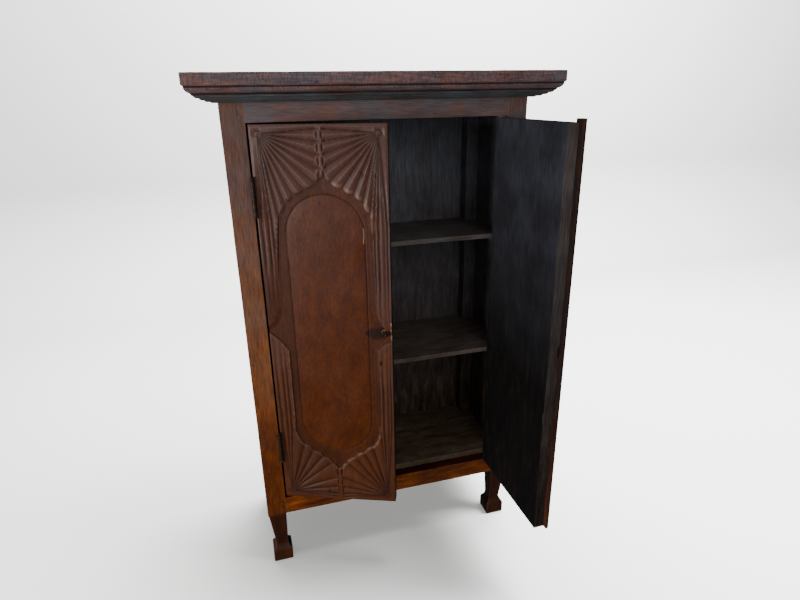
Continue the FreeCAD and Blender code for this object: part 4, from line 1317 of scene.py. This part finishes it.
    def bars(self) -> list[Points]:
        """The sides of the two upright bars, and the nicks that part their beads."""
        made = []
        for low, high in ((self.apex_z, self.height - 7), (7.0, self.foot_z)):
            for sign in (-1, 1):
                s = self.centre + sign * self.bar
                made.append([(s, low), (s, high)])
        nicks = [self.height - drop for drop in self.bar_drops] + list(self.bar_rises)
        for z in nicks:
            made.append([(self.centre - self.bar, z), (self.centre + self.bar, z)])
        return made

    def in_fans(self, place: np.ndarray) -> tuple[np.ndarray, np.ndarray]:
        """How far each point is inside the top fans and the bottom fans, from 0 to 1."""
        z = place[:, 1]
        return (np.clip((z - self.spring_z + 45) / 45, 0, 1),
                np.clip((self.foot_spring_z + 35 - z) / 45, 0, 1))

    def relief(self, place: np.ndarray) -> tuple[np.ndarray, dict[str, np.ndarray]]:
        """Works out the carving at many points.

        Args:
            place: Points as s and z, one to a row.

        Returns:
            The depth of each point, and its attributes for the finish.
        """
        wander = np.array([noise.noise_vector(Vector((s / 70, z / 70, 3.1))).xy for s, z in place])
        loose = place + wander * 1.3
        outline = self.outline()
        sunk = inside(loose, outline)
        rim = distance_to(loose, outline + outline[:1])
        corners = [(sign, top) for sign in (-1, 1) for top in (True, False)]
        cuts = [line for sign, top in corners for line in self.rays(sign, top)]
        reeds = [line for sign, top in corners for line in self.reeds(sign, top)]
        far = 4.0
        frame_line = [(-far, -far), (self.width + far, -far), (self.width + far, self.height + far),
                      (-far, self.height + far), (-far, -far)]
        away = [np.linalg.norm(loose - np.array(self.hub(*c)), axis=1) for c in corners]
        head, foot = self.in_fans(loose)
        bars = self.bars()
        layers = [distance_to(loose, line) for line in cuts]
        # The bars' sides are steep, so they draw the rays down only close to them.
        layers += [distance_to(loose, line) * 2.5 for line in bars]
        layers += [np.abs(reach - self.hub_radius) + 0.8 for reach in away]
        layers += [distance_to(loose, line) for line in reeds]
        # Beside the reeds the field's edge shuts in the last reed. In the fans the rays run out.
        layers += [rim + 60 * np.maximum(head, foot), distance_to(loose, frame_line)]
        stack = np.array(layers)
        near = np.argpartition(stack, 1, axis=0)[:2]
        pair = np.sort(np.take_along_axis(stack, near, axis=0), axis=0)
        nearest = np.argmin(stack, axis=0)
        spacing = pair[0] + pair[1]
        across = 1 - 2 * pair[0] / np.maximum(spacing, 1e-6)
        # The top rays are ridged like a roof. The bottom ones and the reeds are rounder.
        roundness = 1.15 + 0.9 * foot + 0.8 * (1 - np.maximum(head, foot))
        swell = 1 - np.clip(across, 0, 1) ** roundness
        weight = self.cut_weights(nearest, len(cuts) + len(bars) + len(corners), len(reeds), loose)
        room = np.clip((spacing - 1.5) / 8, 0, 1)
        cut_depth = np.minimum(self.ray_depth, 0.36 * spacing) * weight * room
        boss = np.min(away, axis=0)
        on_boss = boss < self.hub_radius
        cut_depth[on_boss] = 1.1
        swell[on_boss] = np.sqrt(np.clip(1 - (boss[on_boss] / self.hub_radius) ** 2, 0, 1))
        raised = self.round_ends(cut_depth * (1 - swell), rim, head, foot)
        raised = self.add_bead(raised, loose, rim)
        field_depth, field_grime_and_shade = self.field_surface(loose, rim)
        depth = np.where(sunk, field_depth, raised)
        smooth = self.sunk_softly(loose, np.where(sunk, rim, -rim), field_depth)
        soft = self.soft_share(loose)
        depth = depth * (1 - soft) + smooth * soft
        # Dirt and painted shade in the cuts between rays and along the field's edge.
        valley = np.exp(-pair[0] / 1.5) * np.clip(weight, 0, 1) * (0.86 + 0.1 * foot)
        raised_grime_and_shade = np.maximum(valley, np.exp(-rim / 1.6) * 0.6)
        grime = np.where(sunk, field_grime_and_shade, raised_grime_and_shade) * (1 - soft) + 0.3 * soft
        low_hinge = foot * np.clip((self.centre - loose[:, 0]) / 16, 0, 1)
        grime = np.maximum(grime, np.where(sunk, 0.0, 0.2 * low_hinge))
        # Painted highlight and wear on the crests of the rays.
        crest = np.where(sunk, 0.0, 0.3 + 0.7 * swell ** 3) * (1 - soft)
        made = {"grime": grime, "crest": crest}
        made.update(self.marks(place))
        # Wear and painted highlights on the ends of the rays join the scratches.
        rubbed_and_lit = self.rubbed_ends(loose, np.where(sunk, 99, rim), swell)
        made["scratch"] = np.maximum(made["scratch"], rubbed_and_lit)
        return depth + self.damage(place), made

    def round_ends(self, raised: np.ndarray, rim: np.ndarray, head: np.ndarray,
                   foot: np.ndarray) -> np.ndarray:
        """Rounds the raised carving over, down to the sunk field.

        Args:
            raised: The raised carving's depths.
            rim: The points' distances from the field's outline.
            head: How far they are inside the top fans.
            foot: How far they are inside the bottom fans.

        Returns:
            The depths, with the ends of the rays rounded.
        """
        reach = self.reed_end + (self.ray_end - self.reed_end) * np.maximum(head, foot * 0.6)
        fall = np.clip(1 - rim / reach, 0, 1)
        end = self.sunk * (1 - np.sqrt(1 - fall ** 2))
        return raised + end - raised * end / (self.sunk + 1)

    def rubbed_ends(self, place: np.ndarray, rim: np.ndarray, swell: np.ndarray) -> np.ndarray:
        """Where the wood is pale, from 0 to 1: worn by hands, with painted highlights.

        That is on the ends of the rays at the top right, on the bead low on the hinge side, and on
        the free edge beside the lock. On the ray ends and the bead the pale is partly painted
        highlight.

        Args:
            place: The points.
            rim: Their distances from the field's outline, and a far value inside the field.
            swell: How high they stand on their ray, from 0 to 1.

        Returns:
            How pale each point is.
        """
        s, z = place[:, 0], place[:, 1]
        patchy = np.array([0.5 + noise.noise(Vector((a / 17, b / 17, 8.8))) for a, b in place])
        patchy = np.clip(patchy * 1.5, 0, 1)
        ends = np.clip(1.4 - np.abs(rim - 4) / 4, 0, 1)
        broad = np.clip(1.6 - np.abs(rim - 6) / 5, 0, 1) * np.clip(swell * 1.6 - 0.3, 0, 1)
        top_right = (s > self.centre + 14) * np.clip((z - self.spring_z + 30) / 20, 0, 1) * 0.28
        low_left = (s < self.centre) * np.clip((self.waist(-1)[2] + 4 - z) / 10, 0, 1) * 0.1
        low_right = (s > self.centre) * np.clip((self.foot_spring_z + 30 - z) / 20, 0, 1) * 0.22
        by_lock = np.clip(s - self.width + 5, 0, 1) * (np.abs(z - 618) < 34) * patchy * 0.4
        rubbed_and_lit = broad * top_right * (0.5 + 0.5 * patchy) + ends * (low_left + low_right) * patchy
        return np.maximum(rubbed_and_lit, by_lock)

    def add_bead(self, raised: np.ndarray, place: np.ndarray, rim: np.ndarray) -> np.ndarray:
        """Adds the thin bead that edges the field beside the reeds and over the bottom fans.

        Args:
            raised: The raised carving's depths.
            place: The points.
            rim: Their distances from the field's outline.

        Returns:
            The depths with the bead.
        """
        share = np.clip((self.spring_z + 40 - place[:, 1]) / 60, 0, 1) * (rim < self.bead * 2)
        share = share * np.where(place[:, 0] > self.centre, 0.7, 1.0)
        round_top = 2.4 * (1 - np.sin(np.pi * np.clip(rim / self.bead, 0, 1)))
        groove = 2.4 * np.exp(-np.clip(rim - self.bead, 0, None) / 1.6)
        bead = np.where(rim < self.bead, round_top, np.maximum(groove, raised))
        return raised * (1 - share) + bead * share

    def soft_share(self, place: np.ndarray) -> np.ndarray:
        """Where the field meets the surface in a soft hollow and not at an edge, from 0 to 1.

        It is so above the waist on the hinge side, where the reeds fade out.
        """
        s, z = place[:, 0], place[:, 1]
        beside = np.clip((self.centre - self.half_width + 26 - s) / 16, 0, 1)
        above = np.clip((z - 618) / 12, 0, 1) * np.clip((850 - z) / 80, 0, 1)
        return beside * above

    def sunk_softly(self, place: np.ndarray, within: np.ndarray,
                    field_depth: np.ndarray) -> np.ndarray:
        """The surface there: it falls slowly from the door's edge to the field.

        Args:
            place: The points.
            within: Their distances into the field, below zero outside it.
            field_depth: The field's depths.

        Returns:
            The depths.
        """
        from_edge = np.clip((place[:, 0] - 6) / 52, 0, 1)
        slope = 3 * from_edge ** 2 - 2 * from_edge ** 3
        high_up = np.clip((place[:, 1] - 660) / 120, 0, 1)
        ripple = 0.35 * np.sin(place[:, 0] / 13 * 2 * np.pi) * high_up
        soft_edge = np.clip(within / 14, 0, 1)
        return field_depth * soft_edge + (self.sunk * slope * 0.9 + 0.35 + ripple) * (1 - soft_edge)

    def cut_weights(self, nearest: np.ndarray, ray_count: int, reed_count: int,
                    place: np.ndarray) -> np.ndarray:
        """How deep the cut nearest to each point is, as a share of a full cut.

        Args:
            nearest: The number of each point's nearest cut.
            ray_count: How many cuts are a fan's, a bar's or a boss's.
            reed_count: How many cuts, after those, are reeds.
            place: The points.

        Returns:
            The shares.
        """
        middle = (self.waist(1)[0] + self.waist(1)[2]) / 2
        fade = np.clip((np.abs(place[:, 1] - middle) - 40) / 160, 0.12, 0.9)
        weight = np.ones(len(place))
        reed = (nearest >= ray_count) & (nearest < ray_count + reed_count)
        weight[reed] = fade[reed]
        weight[nearest == ray_count + reed_count] = 0.5
        weight[nearest == ray_count + reed_count + 1] = 0.5
        return weight

    def field_surface(self, place: np.ndarray, rim: np.ndarray) -> tuple[np.ndarray, np.ndarray]:
        """The sunk field: a channel round an oblong panel that swells gently.

        Args:
            place: The points.
            rim: Their distances from the field's outline.

        Returns:
            Their depths, and the dirt and painted shade on them.
        """
        radius = self.half_width - self.line_inset
        spine = [(self.centre, self.line_low + radius), (self.centre, self.line_top - radius)]
        within = radius - distance_to(place, spine)
        pillow = 1.5 * np.clip(within / 28, 0, 1) ** 0.6
        cut = 1.5 * np.clip(1 - np.abs(within) / 2.4, 0, 1)
        channel = 0.7 * np.clip(rim / 8, 0, 1) * (within < 0)
        depth = self.sunk + channel + cut - np.where(within > 0, pillow, 0)
        grime = np.maximum(np.exp(-rim / 3.0) * 0.6, np.exp(-np.abs(within) / 2.0) * 0.5)
        # The channel is darker on the hinge side.
        channel_darkening = np.where(place[:, 0] < self.centre, 0.34, 0.16) * (within < 0)
        grime = np.maximum(grime, channel_darkening)
        return depth, grime

    def marks(self, place: np.ndarray) -> dict[str, np.ndarray]:
        """Old stains and scratches on the front, as amounts from 0 to 1."""
        s, z = place[:, 0], place[:, 1]
        ragged = np.array([noise.noise(Vector((a / 6, b / 6, 0.7))) for a, b in place])
        along = (s - 294) / 60
        half = 36 * np.clip(along, 0, 1) ** 0.6 * np.clip(1.25 - along, 0, 1) ** 0.5
        leaf = np.clip((half + ragged * 8 - np.abs(z - 614 - along * 3)) / 7, 0, 1)
        stain = leaf * ((along > 0) & (along < 1.25)) * 0.7
        for a, b, reach in ((181, 1009, 3.0), (163, 918, 2.5), (186, 1003, 2.0), (172, 926, 2.2)):
            stain = np.maximum(stain, np.exp(-((s - a) ** 2 + (z - b) ** 2) / reach ** 2) * 0.8)
        dark_scratch = distance_to(place, [(95, 967), (145, 950)])
        stain = np.maximum(stain, np.clip(1 - dark_scratch / 1.6, 0, 1) * 0.6)
        light = distance_to(place, [(303, 937), (304, 915), (302, 893)])
        return {"stain": stain, "scratch": np.clip(1 - light / 1.6, 0, 1) * 0.8}

    def damage(self, place: np.ndarray) -> np.ndarray:
        """Depths of a split, and of the faint unevenness that the gouge left."""
        s, z = place[:, 0], place[:, 1]
        split = 2.6 * np.exp(-((s - 350) / 2.2) ** 2 - ((z - 427) / 10) ** 2)
        ripple = np.array([noise.noise(Vector((a / 11, b / 18, 5.2))) for a, b in place])
        return split + 0.22 * (ripple + 0.6)


@dataclass
class Door:
    """A carved door with its edges and inner face, in its resting place."""

    finishes: Finishes
    side: Side
    hinge_gap: float = 1.0
    hinge_proud: float = 6.5
    columns: int = 216
    fan_step: float = 2.0
    plain_step: float = 7.0
    inset: float = 0.35
    # The width of the eased edge round the inner face.
    arris: float = 1.6
    box: tuple = field(init=False)
    width: float = field(init=False)
    thick: float = field(init=False)
    angle: float = field(init=False)
    pivot: Vector = field(init=False)

    def __post_init__(self) -> None:
        """Reads the door's place, angle and size from the frame."""
        joint = next(j for j in frame["joints"] if j["child"] == self.body)
        self.angle = math.radians(-joint["range_deg"][0]) * joint["axis"][2]
        self.pivot = Vector(joint["pos_m"])
        self.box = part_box(self.node)
        span = self.box[1] - self.box[0]
        cos = abs(math.cos(self.angle))
        sin = abs(math.sin(self.angle))
        self.width = (span.x * cos - span.y * sin) / (cos ** 2 - sin ** 2) * 1000
        self.thick = (span.y * cos - span.x * sin) / (cos ** 2 - sin ** 2) * 1000

    @property
    def body(self) -> str:
        """The frame's body."""
        return "door_" + self.side.word

    @property
    def node(self) -> str:
        """The frame's node."""
        return "door_panel_" + self.side.word

    def levels(self, height: float) -> list[float]:
        """Heights of the mesh's rows: close together in the fans, wider apart between them."""
        rows = []
        z = 0.0
        while z < height:
            rows.append(z)
            plain = 330 < z < 560 or 680 < z < 870
            z += self.plain_step if plain else self.fan_step
        rows[-1] = height
        return rows

    def build(self) -> None:
        """Carves the front, adds the edges and the back, and swings the door to its place."""
        height = (self.box[1].z - self.box[0].z) * 1000
        rows = self.levels(height)
        bpy.ops.object.select_all(action="DESELECT")
        bpy.ops.mesh.primitive_grid_add(x_subdivisions=self.columns,
                                        y_subdivisions=len(rows) - 1, size=1)
        piece = bpy.context.object
        piece.name = "carved_door_" + self.side.word
        count = len(piece.data.vertices)
        flat = np.zeros(count * 3)
        piece.data.vertices.foreach_get("co", flat)
        flat = flat.reshape(-1, 3)
        share = flat[:, 0] + 0.5
        row = np.rint((flat[:, 1] + 0.5) * (len(rows) - 1)).astype(int)
        place = np.column_stack([share * (self.width - 2 * self.inset) + self.inset,
                                 np.array(rows)[row]])
        carving = Carving(self.width, height)
        depth, marks = carving.relief(place)
        points = self.in_place(place[:, 0], depth, place[:, 1])
        piece.data.vertices.foreach_set("co", points.ravel())
        for name, values in marks.items():
            attribute = piece.data.attributes.new(name, "FLOAT", "POINT")
            attribute.data.foreach_set("value", values.astype(np.float32))
        piece.data.update()
        self.close_back(piece)
        self.swing(piece)
        self.paint(piece)
        dress(piece, self.body, "door_wood", self.node)

    def in_place(self, s: np.ndarray, depth: np.ndarray, z: np.ndarray) -> np.ndarray:
        """Points of the closed door in the frame, in metres.

        Args:
            s: Distances from the hinge edge, in millimetres.
            depth: Depths below the front plane, in millimetres.
            z: Heights above the lower edge, in millimetres.

        Returns:
            The points, one to a row.
        """
        sign = self.side.value
        hinge_x = self.pivot.x - sign * mm(self.hinge_gap)
        front_y = self.pivot.y + mm(self.hinge_proud)
        return np.column_stack([hinge_x - sign * s / 1000, front_y + depth / 1000,
                                self.box[0].z + z / 1000])

    def close_back(self, piece: Object) -> None:
        """Extrudes the front's border to the door's thickness, and planes the back by hand."""
        arris = self.arris
        front = self.pivot.y + mm(self.hinge_proud)
        edge = mm(self.thick - arris)
        across = 1 - 2 * arris / self.width
        upright = 1 - 2 * arris / (1000 * (self.box[1].z - self.box[0].z))
        middle_x = self.pivot.x - self.side.value * mm(self.hinge_gap + self.width / 2)
        middle = (middle_x, front + mm(self.thick), (self.box[0].z + self.box[1].z) / 2)
        enter_edit(piece)
        bpy.ops.mesh.select_mode(type="EDGE")
        bpy.ops.mesh.region_to_loop()
        bpy.ops.mesh.extrude_edges_move(TRANSFORM_OT_translate={"value": (0, edge, 0)})
        bpy.ops.transform.resize(value=(1, 0, 1), center_override=(0, front + edge, 0))
        bpy.ops.mesh.extrude_edges_move(TRANSFORM_OT_translate={"value": (0, mm(arris), 0)})
        bpy.ops.transform.resize(value=(across, 1, upright), center_override=middle)
        bpy.ops.mesh.edge_face_add()
        bpy.ops.mesh.select_mode(type="FACE")
        bpy.ops.mesh.hide(unselected=True)
        for axis, count in ((0, 14), (2, 36)):
            for i in range(1, count):
                point = list(middle)
                normal = [0.0, 0.0, 0.0]
                span = mm(self.width) if axis == 0 else self.box[1].z - self.box[0].z
                point[axis] += span * (i / count - 0.5)
                normal[axis] = 1.0
                bpy.ops.mesh.select_all(action="SELECT")
                bpy.ops.mesh.bisect(plane_co=point, plane_no=normal)
        bpy.ops.mesh.reveal()
        bpy.ops.mesh.select_all(action="SELECT")
        bpy.ops.mesh.normals_make_consistent(inside=False)
        leave_edit()
        set_order(piece.data)
        self.clear_marks(piece, front + mm(8))
        for vertex in piece.data.vertices:
            if vertex.co.y > middle[1] - mm(0.1):
                vertex.co.y -= mm(0.5) + mm(0.9) * noise.noise(vertex.co * 9.0)

    def clear_marks(self, piece: Object, behind: float) -> None:
        """Takes the front's marks off the edges and the back.

        Args:
            piece: The closed door.
            behind: Points further back than this have no marks, in metres.
        """
        for name in CARVED_MARKS:
            values = piece.data.attributes[name].data
            for vertex, value in zip(piece.data.vertices, values):
                if vertex.co.y > behind:
                    value.value = 0.0

    def swing(self, piece: Object) -> None:
        """Turns the door about its hinge line to its resting angle."""
        turn = Matrix.Rotation(self.angle, 4, "Z")
        here = Matrix.Translation(self.pivot)
        piece.data.transform(here @ turn @ here.inverted())
        piece.data.update()

    def paint(self, piece: Object) -> None:
        """Gives the front, the edges and the inner face their own finishes; the inner face's near
        black is painted shade.
        """
        for finish in (self.finishes.door, self.finishes.door_edge, self.finishes.door_inside):
            piece.data.materials.append(finish)
        inward = Matrix.Rotation(self.angle, 3, "Z") @ Vector((0, 1, 0))
        for face in piece.data.polygons:
            facing = face.normal.dot(inward)
            if facing > 0.7:
                face.material_index = 2
            elif facing > -0.35:
                face.material_index = 1


@dataclass
class Ironwork:
    """Hinges, lock, knob and cover strip, worked from their nodes."""

    finishes: Finishes

    def worked(self, node: str, finish: Material, body: str, slot: str,
               ease: float = 0.0) -> Object:
        """Copies a node, rounds its edges a little and dresses it.

        Args:
            node: The node's name.
            finish: Its material.
            body: The body that it rides on.
            slot: The record's material slot.
            ease: The width of its rounded edges, in millimetres.

        Returns:
            The piece.
        """
        piece = copy_of_node(node, node + "_worked")
        if ease:
            ease_edges(piece, ease)
        piece.data.materials.append(finish)
        return dress(piece, body, slot, node)

    def build(self) -> None:
        """Builds every piece."""
        for side in Side:
            for height in ("upper", "lower"):
                place = f"{height}_{side.word}"
                self.worked("hinge_post_leaf_" + place, self.finishes.iron, CASE, "black_iron")
                self.worked("hinge_pin_" + place, self.finishes.iron, CASE, "black_iron")
                self.worked("hinge_door_leaf_" + place, self.finishes.iron, "door_" + side.word,
                            "black_iron")
        self.worked("knob", self.finishes.steel, "knob", "knob_steel", 0.6)
        self.worked("knob_rose", self.finishes.brass, "door_left", "rose_brass", 0.4)
        strip = copy_of_node("cover_strip", "cover_strip_moulding")
        score(strip, 2, 45.0)
        ease_edges(strip, 1.0)
        strip.data.materials.append(self.finishes.strip)
        dress(strip, "door_right", "strip_wood", "cover_strip")

    def keep_nodes(self) -> None:
        """Gives the frame's own nodes that still show a finish."""
        for name, node in frame["nodes"].items():
            if node.hide_render:
                continue
            finish = self.finishes.panels if name == "tenon_pegs" else self.finishes.iron
            node.data.materials.clear()
            node.data.materials.append(finish)


@dataclass
class Studio:
    """A pale floor that curves up into a wall, soft lights and the camera."""

    wall_y: float = 2600.0
    sweep: float = 900.0
    sweep_steps: int = 16
    wall_height: float = 4000.0
    room_strength: float = 0.36
    # The camera's place beside the front of the left post, and the way that it looks.
    camera_mm: tuple = (-418.2, -1610.7, 1567.2)
    yaw_deg: float = 15.775
    pitch_deg: float = -20.347
    roll_deg: float = -0.961
    lens_mm: float = 24.975
    sensor_mm: float = 36.0
    stage_only: Collection = field(init=False)
    not_stage: Collection = field(init=False)

    def floor(self) -> None:
        """Extrudes the floor's far edge up in a curve to make the wall behind."""
        bpy.ops.object.select_all(action="DESELECT")
        bpy.ops.mesh.primitive_plane_add(size=14.0, location=(0, mm(self.wall_y) - 7.0, 0))
        ground = bpy.context.object
        ground.name = "studio_floor"
        settle(ground)
        enter_edit(ground)
        bpy.ops.mesh.select_mode(type="EDGE")
        bpy.ops.mesh.select_all(action="DESELECT")
        leave_edit()
        points = ground.data.vertices
        for edge in ground.data.edges:
            edge.select = all(points[i].co.y > mm(self.wall_y) - 0.01 for i in edge.vertices)
        bpy.ops.object.mode_set(mode="EDIT")
        steps = self.sweep_steps
        before = (0.0, 0.0)
        for i in range(1, steps + 1):
            turn = math.pi / 2 * i / steps
            now = (math.sin(turn) * mm(self.sweep), (1 - math.cos(turn)) * mm(self.sweep))
            move = (0, now[0] - before[0], now[1] - before[1])
            bpy.ops.mesh.extrude_edges_move(TRANSFORM_OT_translate={"value": move})
            before = now
        move = (0, 0, mm(self.wall_height))
        bpy.ops.mesh.extrude_edges_move(TRANSFORM_OT_translate={"value": move})
        bpy.ops.mesh.select_all(action="SELECT")
        bpy.ops.mesh.normals_make_consistent(inside=False)
        leave_edit()
        bpy.ops.object.shade_smooth()
        ground.data.materials.append(PaintedFloor("painted_floor").material())
        # The floor is lit on its own and throws no light back, as if it were far away.
        ground.visible_diffuse = False
        ground.visible_glossy = False
        self.stage_only = bpy.data.collections.new("lit_by_stage_lights")
        self.stage_only.objects.link(ground)
        self.not_stage = bpy.data.collections.new("left_dark_by_room_lights")
        self.not_stage.objects.link(ground)
        self.not_stage.collection_objects[0].light_linking.link_state = "EXCLUDE"

    def light(self, name: str, place: tuple[float, float, float], size: float, power: float,
              lit: Collection, aim: tuple[float, float, float] = (0.0, 0.0, 0.8)) -> None:
        """Adds a soft square light.

        Args:
            name: The light's name.
            place: Where it stands, in metres.
            size: The side of the square, in metres.
            power: Its power in watts.
            lit: The collection that says what it lights.
            aim: The point that it faces, at first in the middle of the cupboard.
        """
        bpy.ops.object.light_add(type="AREA", location=place)
        lamp = bpy.context.object
        lamp.name = name
        lamp.data.shape = "SQUARE"
        lamp.data.size = size
        lamp.data.energy = power
        way = Vector(aim) - Vector(place)
        lamp.rotation_euler = way.to_track_quat("-Z", "Y").to_euler()
        lamp.light_linking.receiver_collection = lit

    def camera(self) -> None:
        """Places the camera at the photograph's angle, measured from the front of the left post."""
        yaw, pitch, roll = (math.radians(a) for a in (self.yaw_deg, self.pitch_deg, self.roll_deg))
        ahead = Vector((math.sin(yaw) * math.cos(pitch), math.cos(yaw) * math.cos(pitch),
                        math.sin(pitch)))
        level = Vector((math.cos(yaw), -math.sin(yaw), 0))
        above = level.cross(ahead)
        across = math.cos(roll) * level + math.sin(roll) * above
        upward = -math.sin(roll) * level + math.cos(roll) * above
        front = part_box("post_front_left")[0].y
        place = Vector([mm(v) for v in self.camera_mm]) + Vector((0, front, 0))
        bpy.ops.object.camera_add()
        camera = bpy.context.object
        camera.data.lens = self.lens_mm
        camera.data.sensor_width = self.sensor_mm
        turned = Matrix((across, upward, -ahead)).transposed()
        camera.matrix_world = Matrix.Translation(place) @ turned.to_4x4()
        bpy.context.scene.camera = camera

    def world(self) -> None:
        """Fills the room with an even pale light."""
        world = bpy.data.worlds.new("pale_room")
        bpy.context.scene.world = world
        world.use_nodes = True
        back = world.node_tree.nodes["Background"]
        back.inputs["Color"].default_value = linear("#eef0f2")
        back.inputs["Strength"].default_value = self.room_strength

    def build(self) -> None:
        """Builds the room, the lights and the camera."""
        self.floor()
        self.world()
        self.light("floor_light", (0.9, 1.3, 5.2), 3.6, 1060.0, self.stage_only, (0.0, 0.3, 0.0))
        self.light("wall_light", (2.6, -0.6, 4.2), 2.4, 720.0, self.stage_only, (3.0, 3.3, 1.6))
        self.light("window_left", (-3.1, -1.7, 1.1), 1.2, 145.0, self.not_stage)
        self.light("fill_front", (0.2, -3.4, 2.2), 2.4, 45.0, self.not_stage)
        self.camera()


def main() -> None:
    """Builds the cupboard and the room."""
    logging.basicConfig(level=logging.INFO, format="%(name)s: %(message)s")
    noise.seed_set(NOISE_SEED)
    finishes = Finishes()
    Studio().build()
    Case(finishes).build()
    Cornice(finishes).build()
    for side in Side:
        Door(finishes, side).build()
    ironwork = Ironwork(finishes)
    ironwork.build()
    ironwork.keep_nodes()


if __name__ == "__main__":
    main()
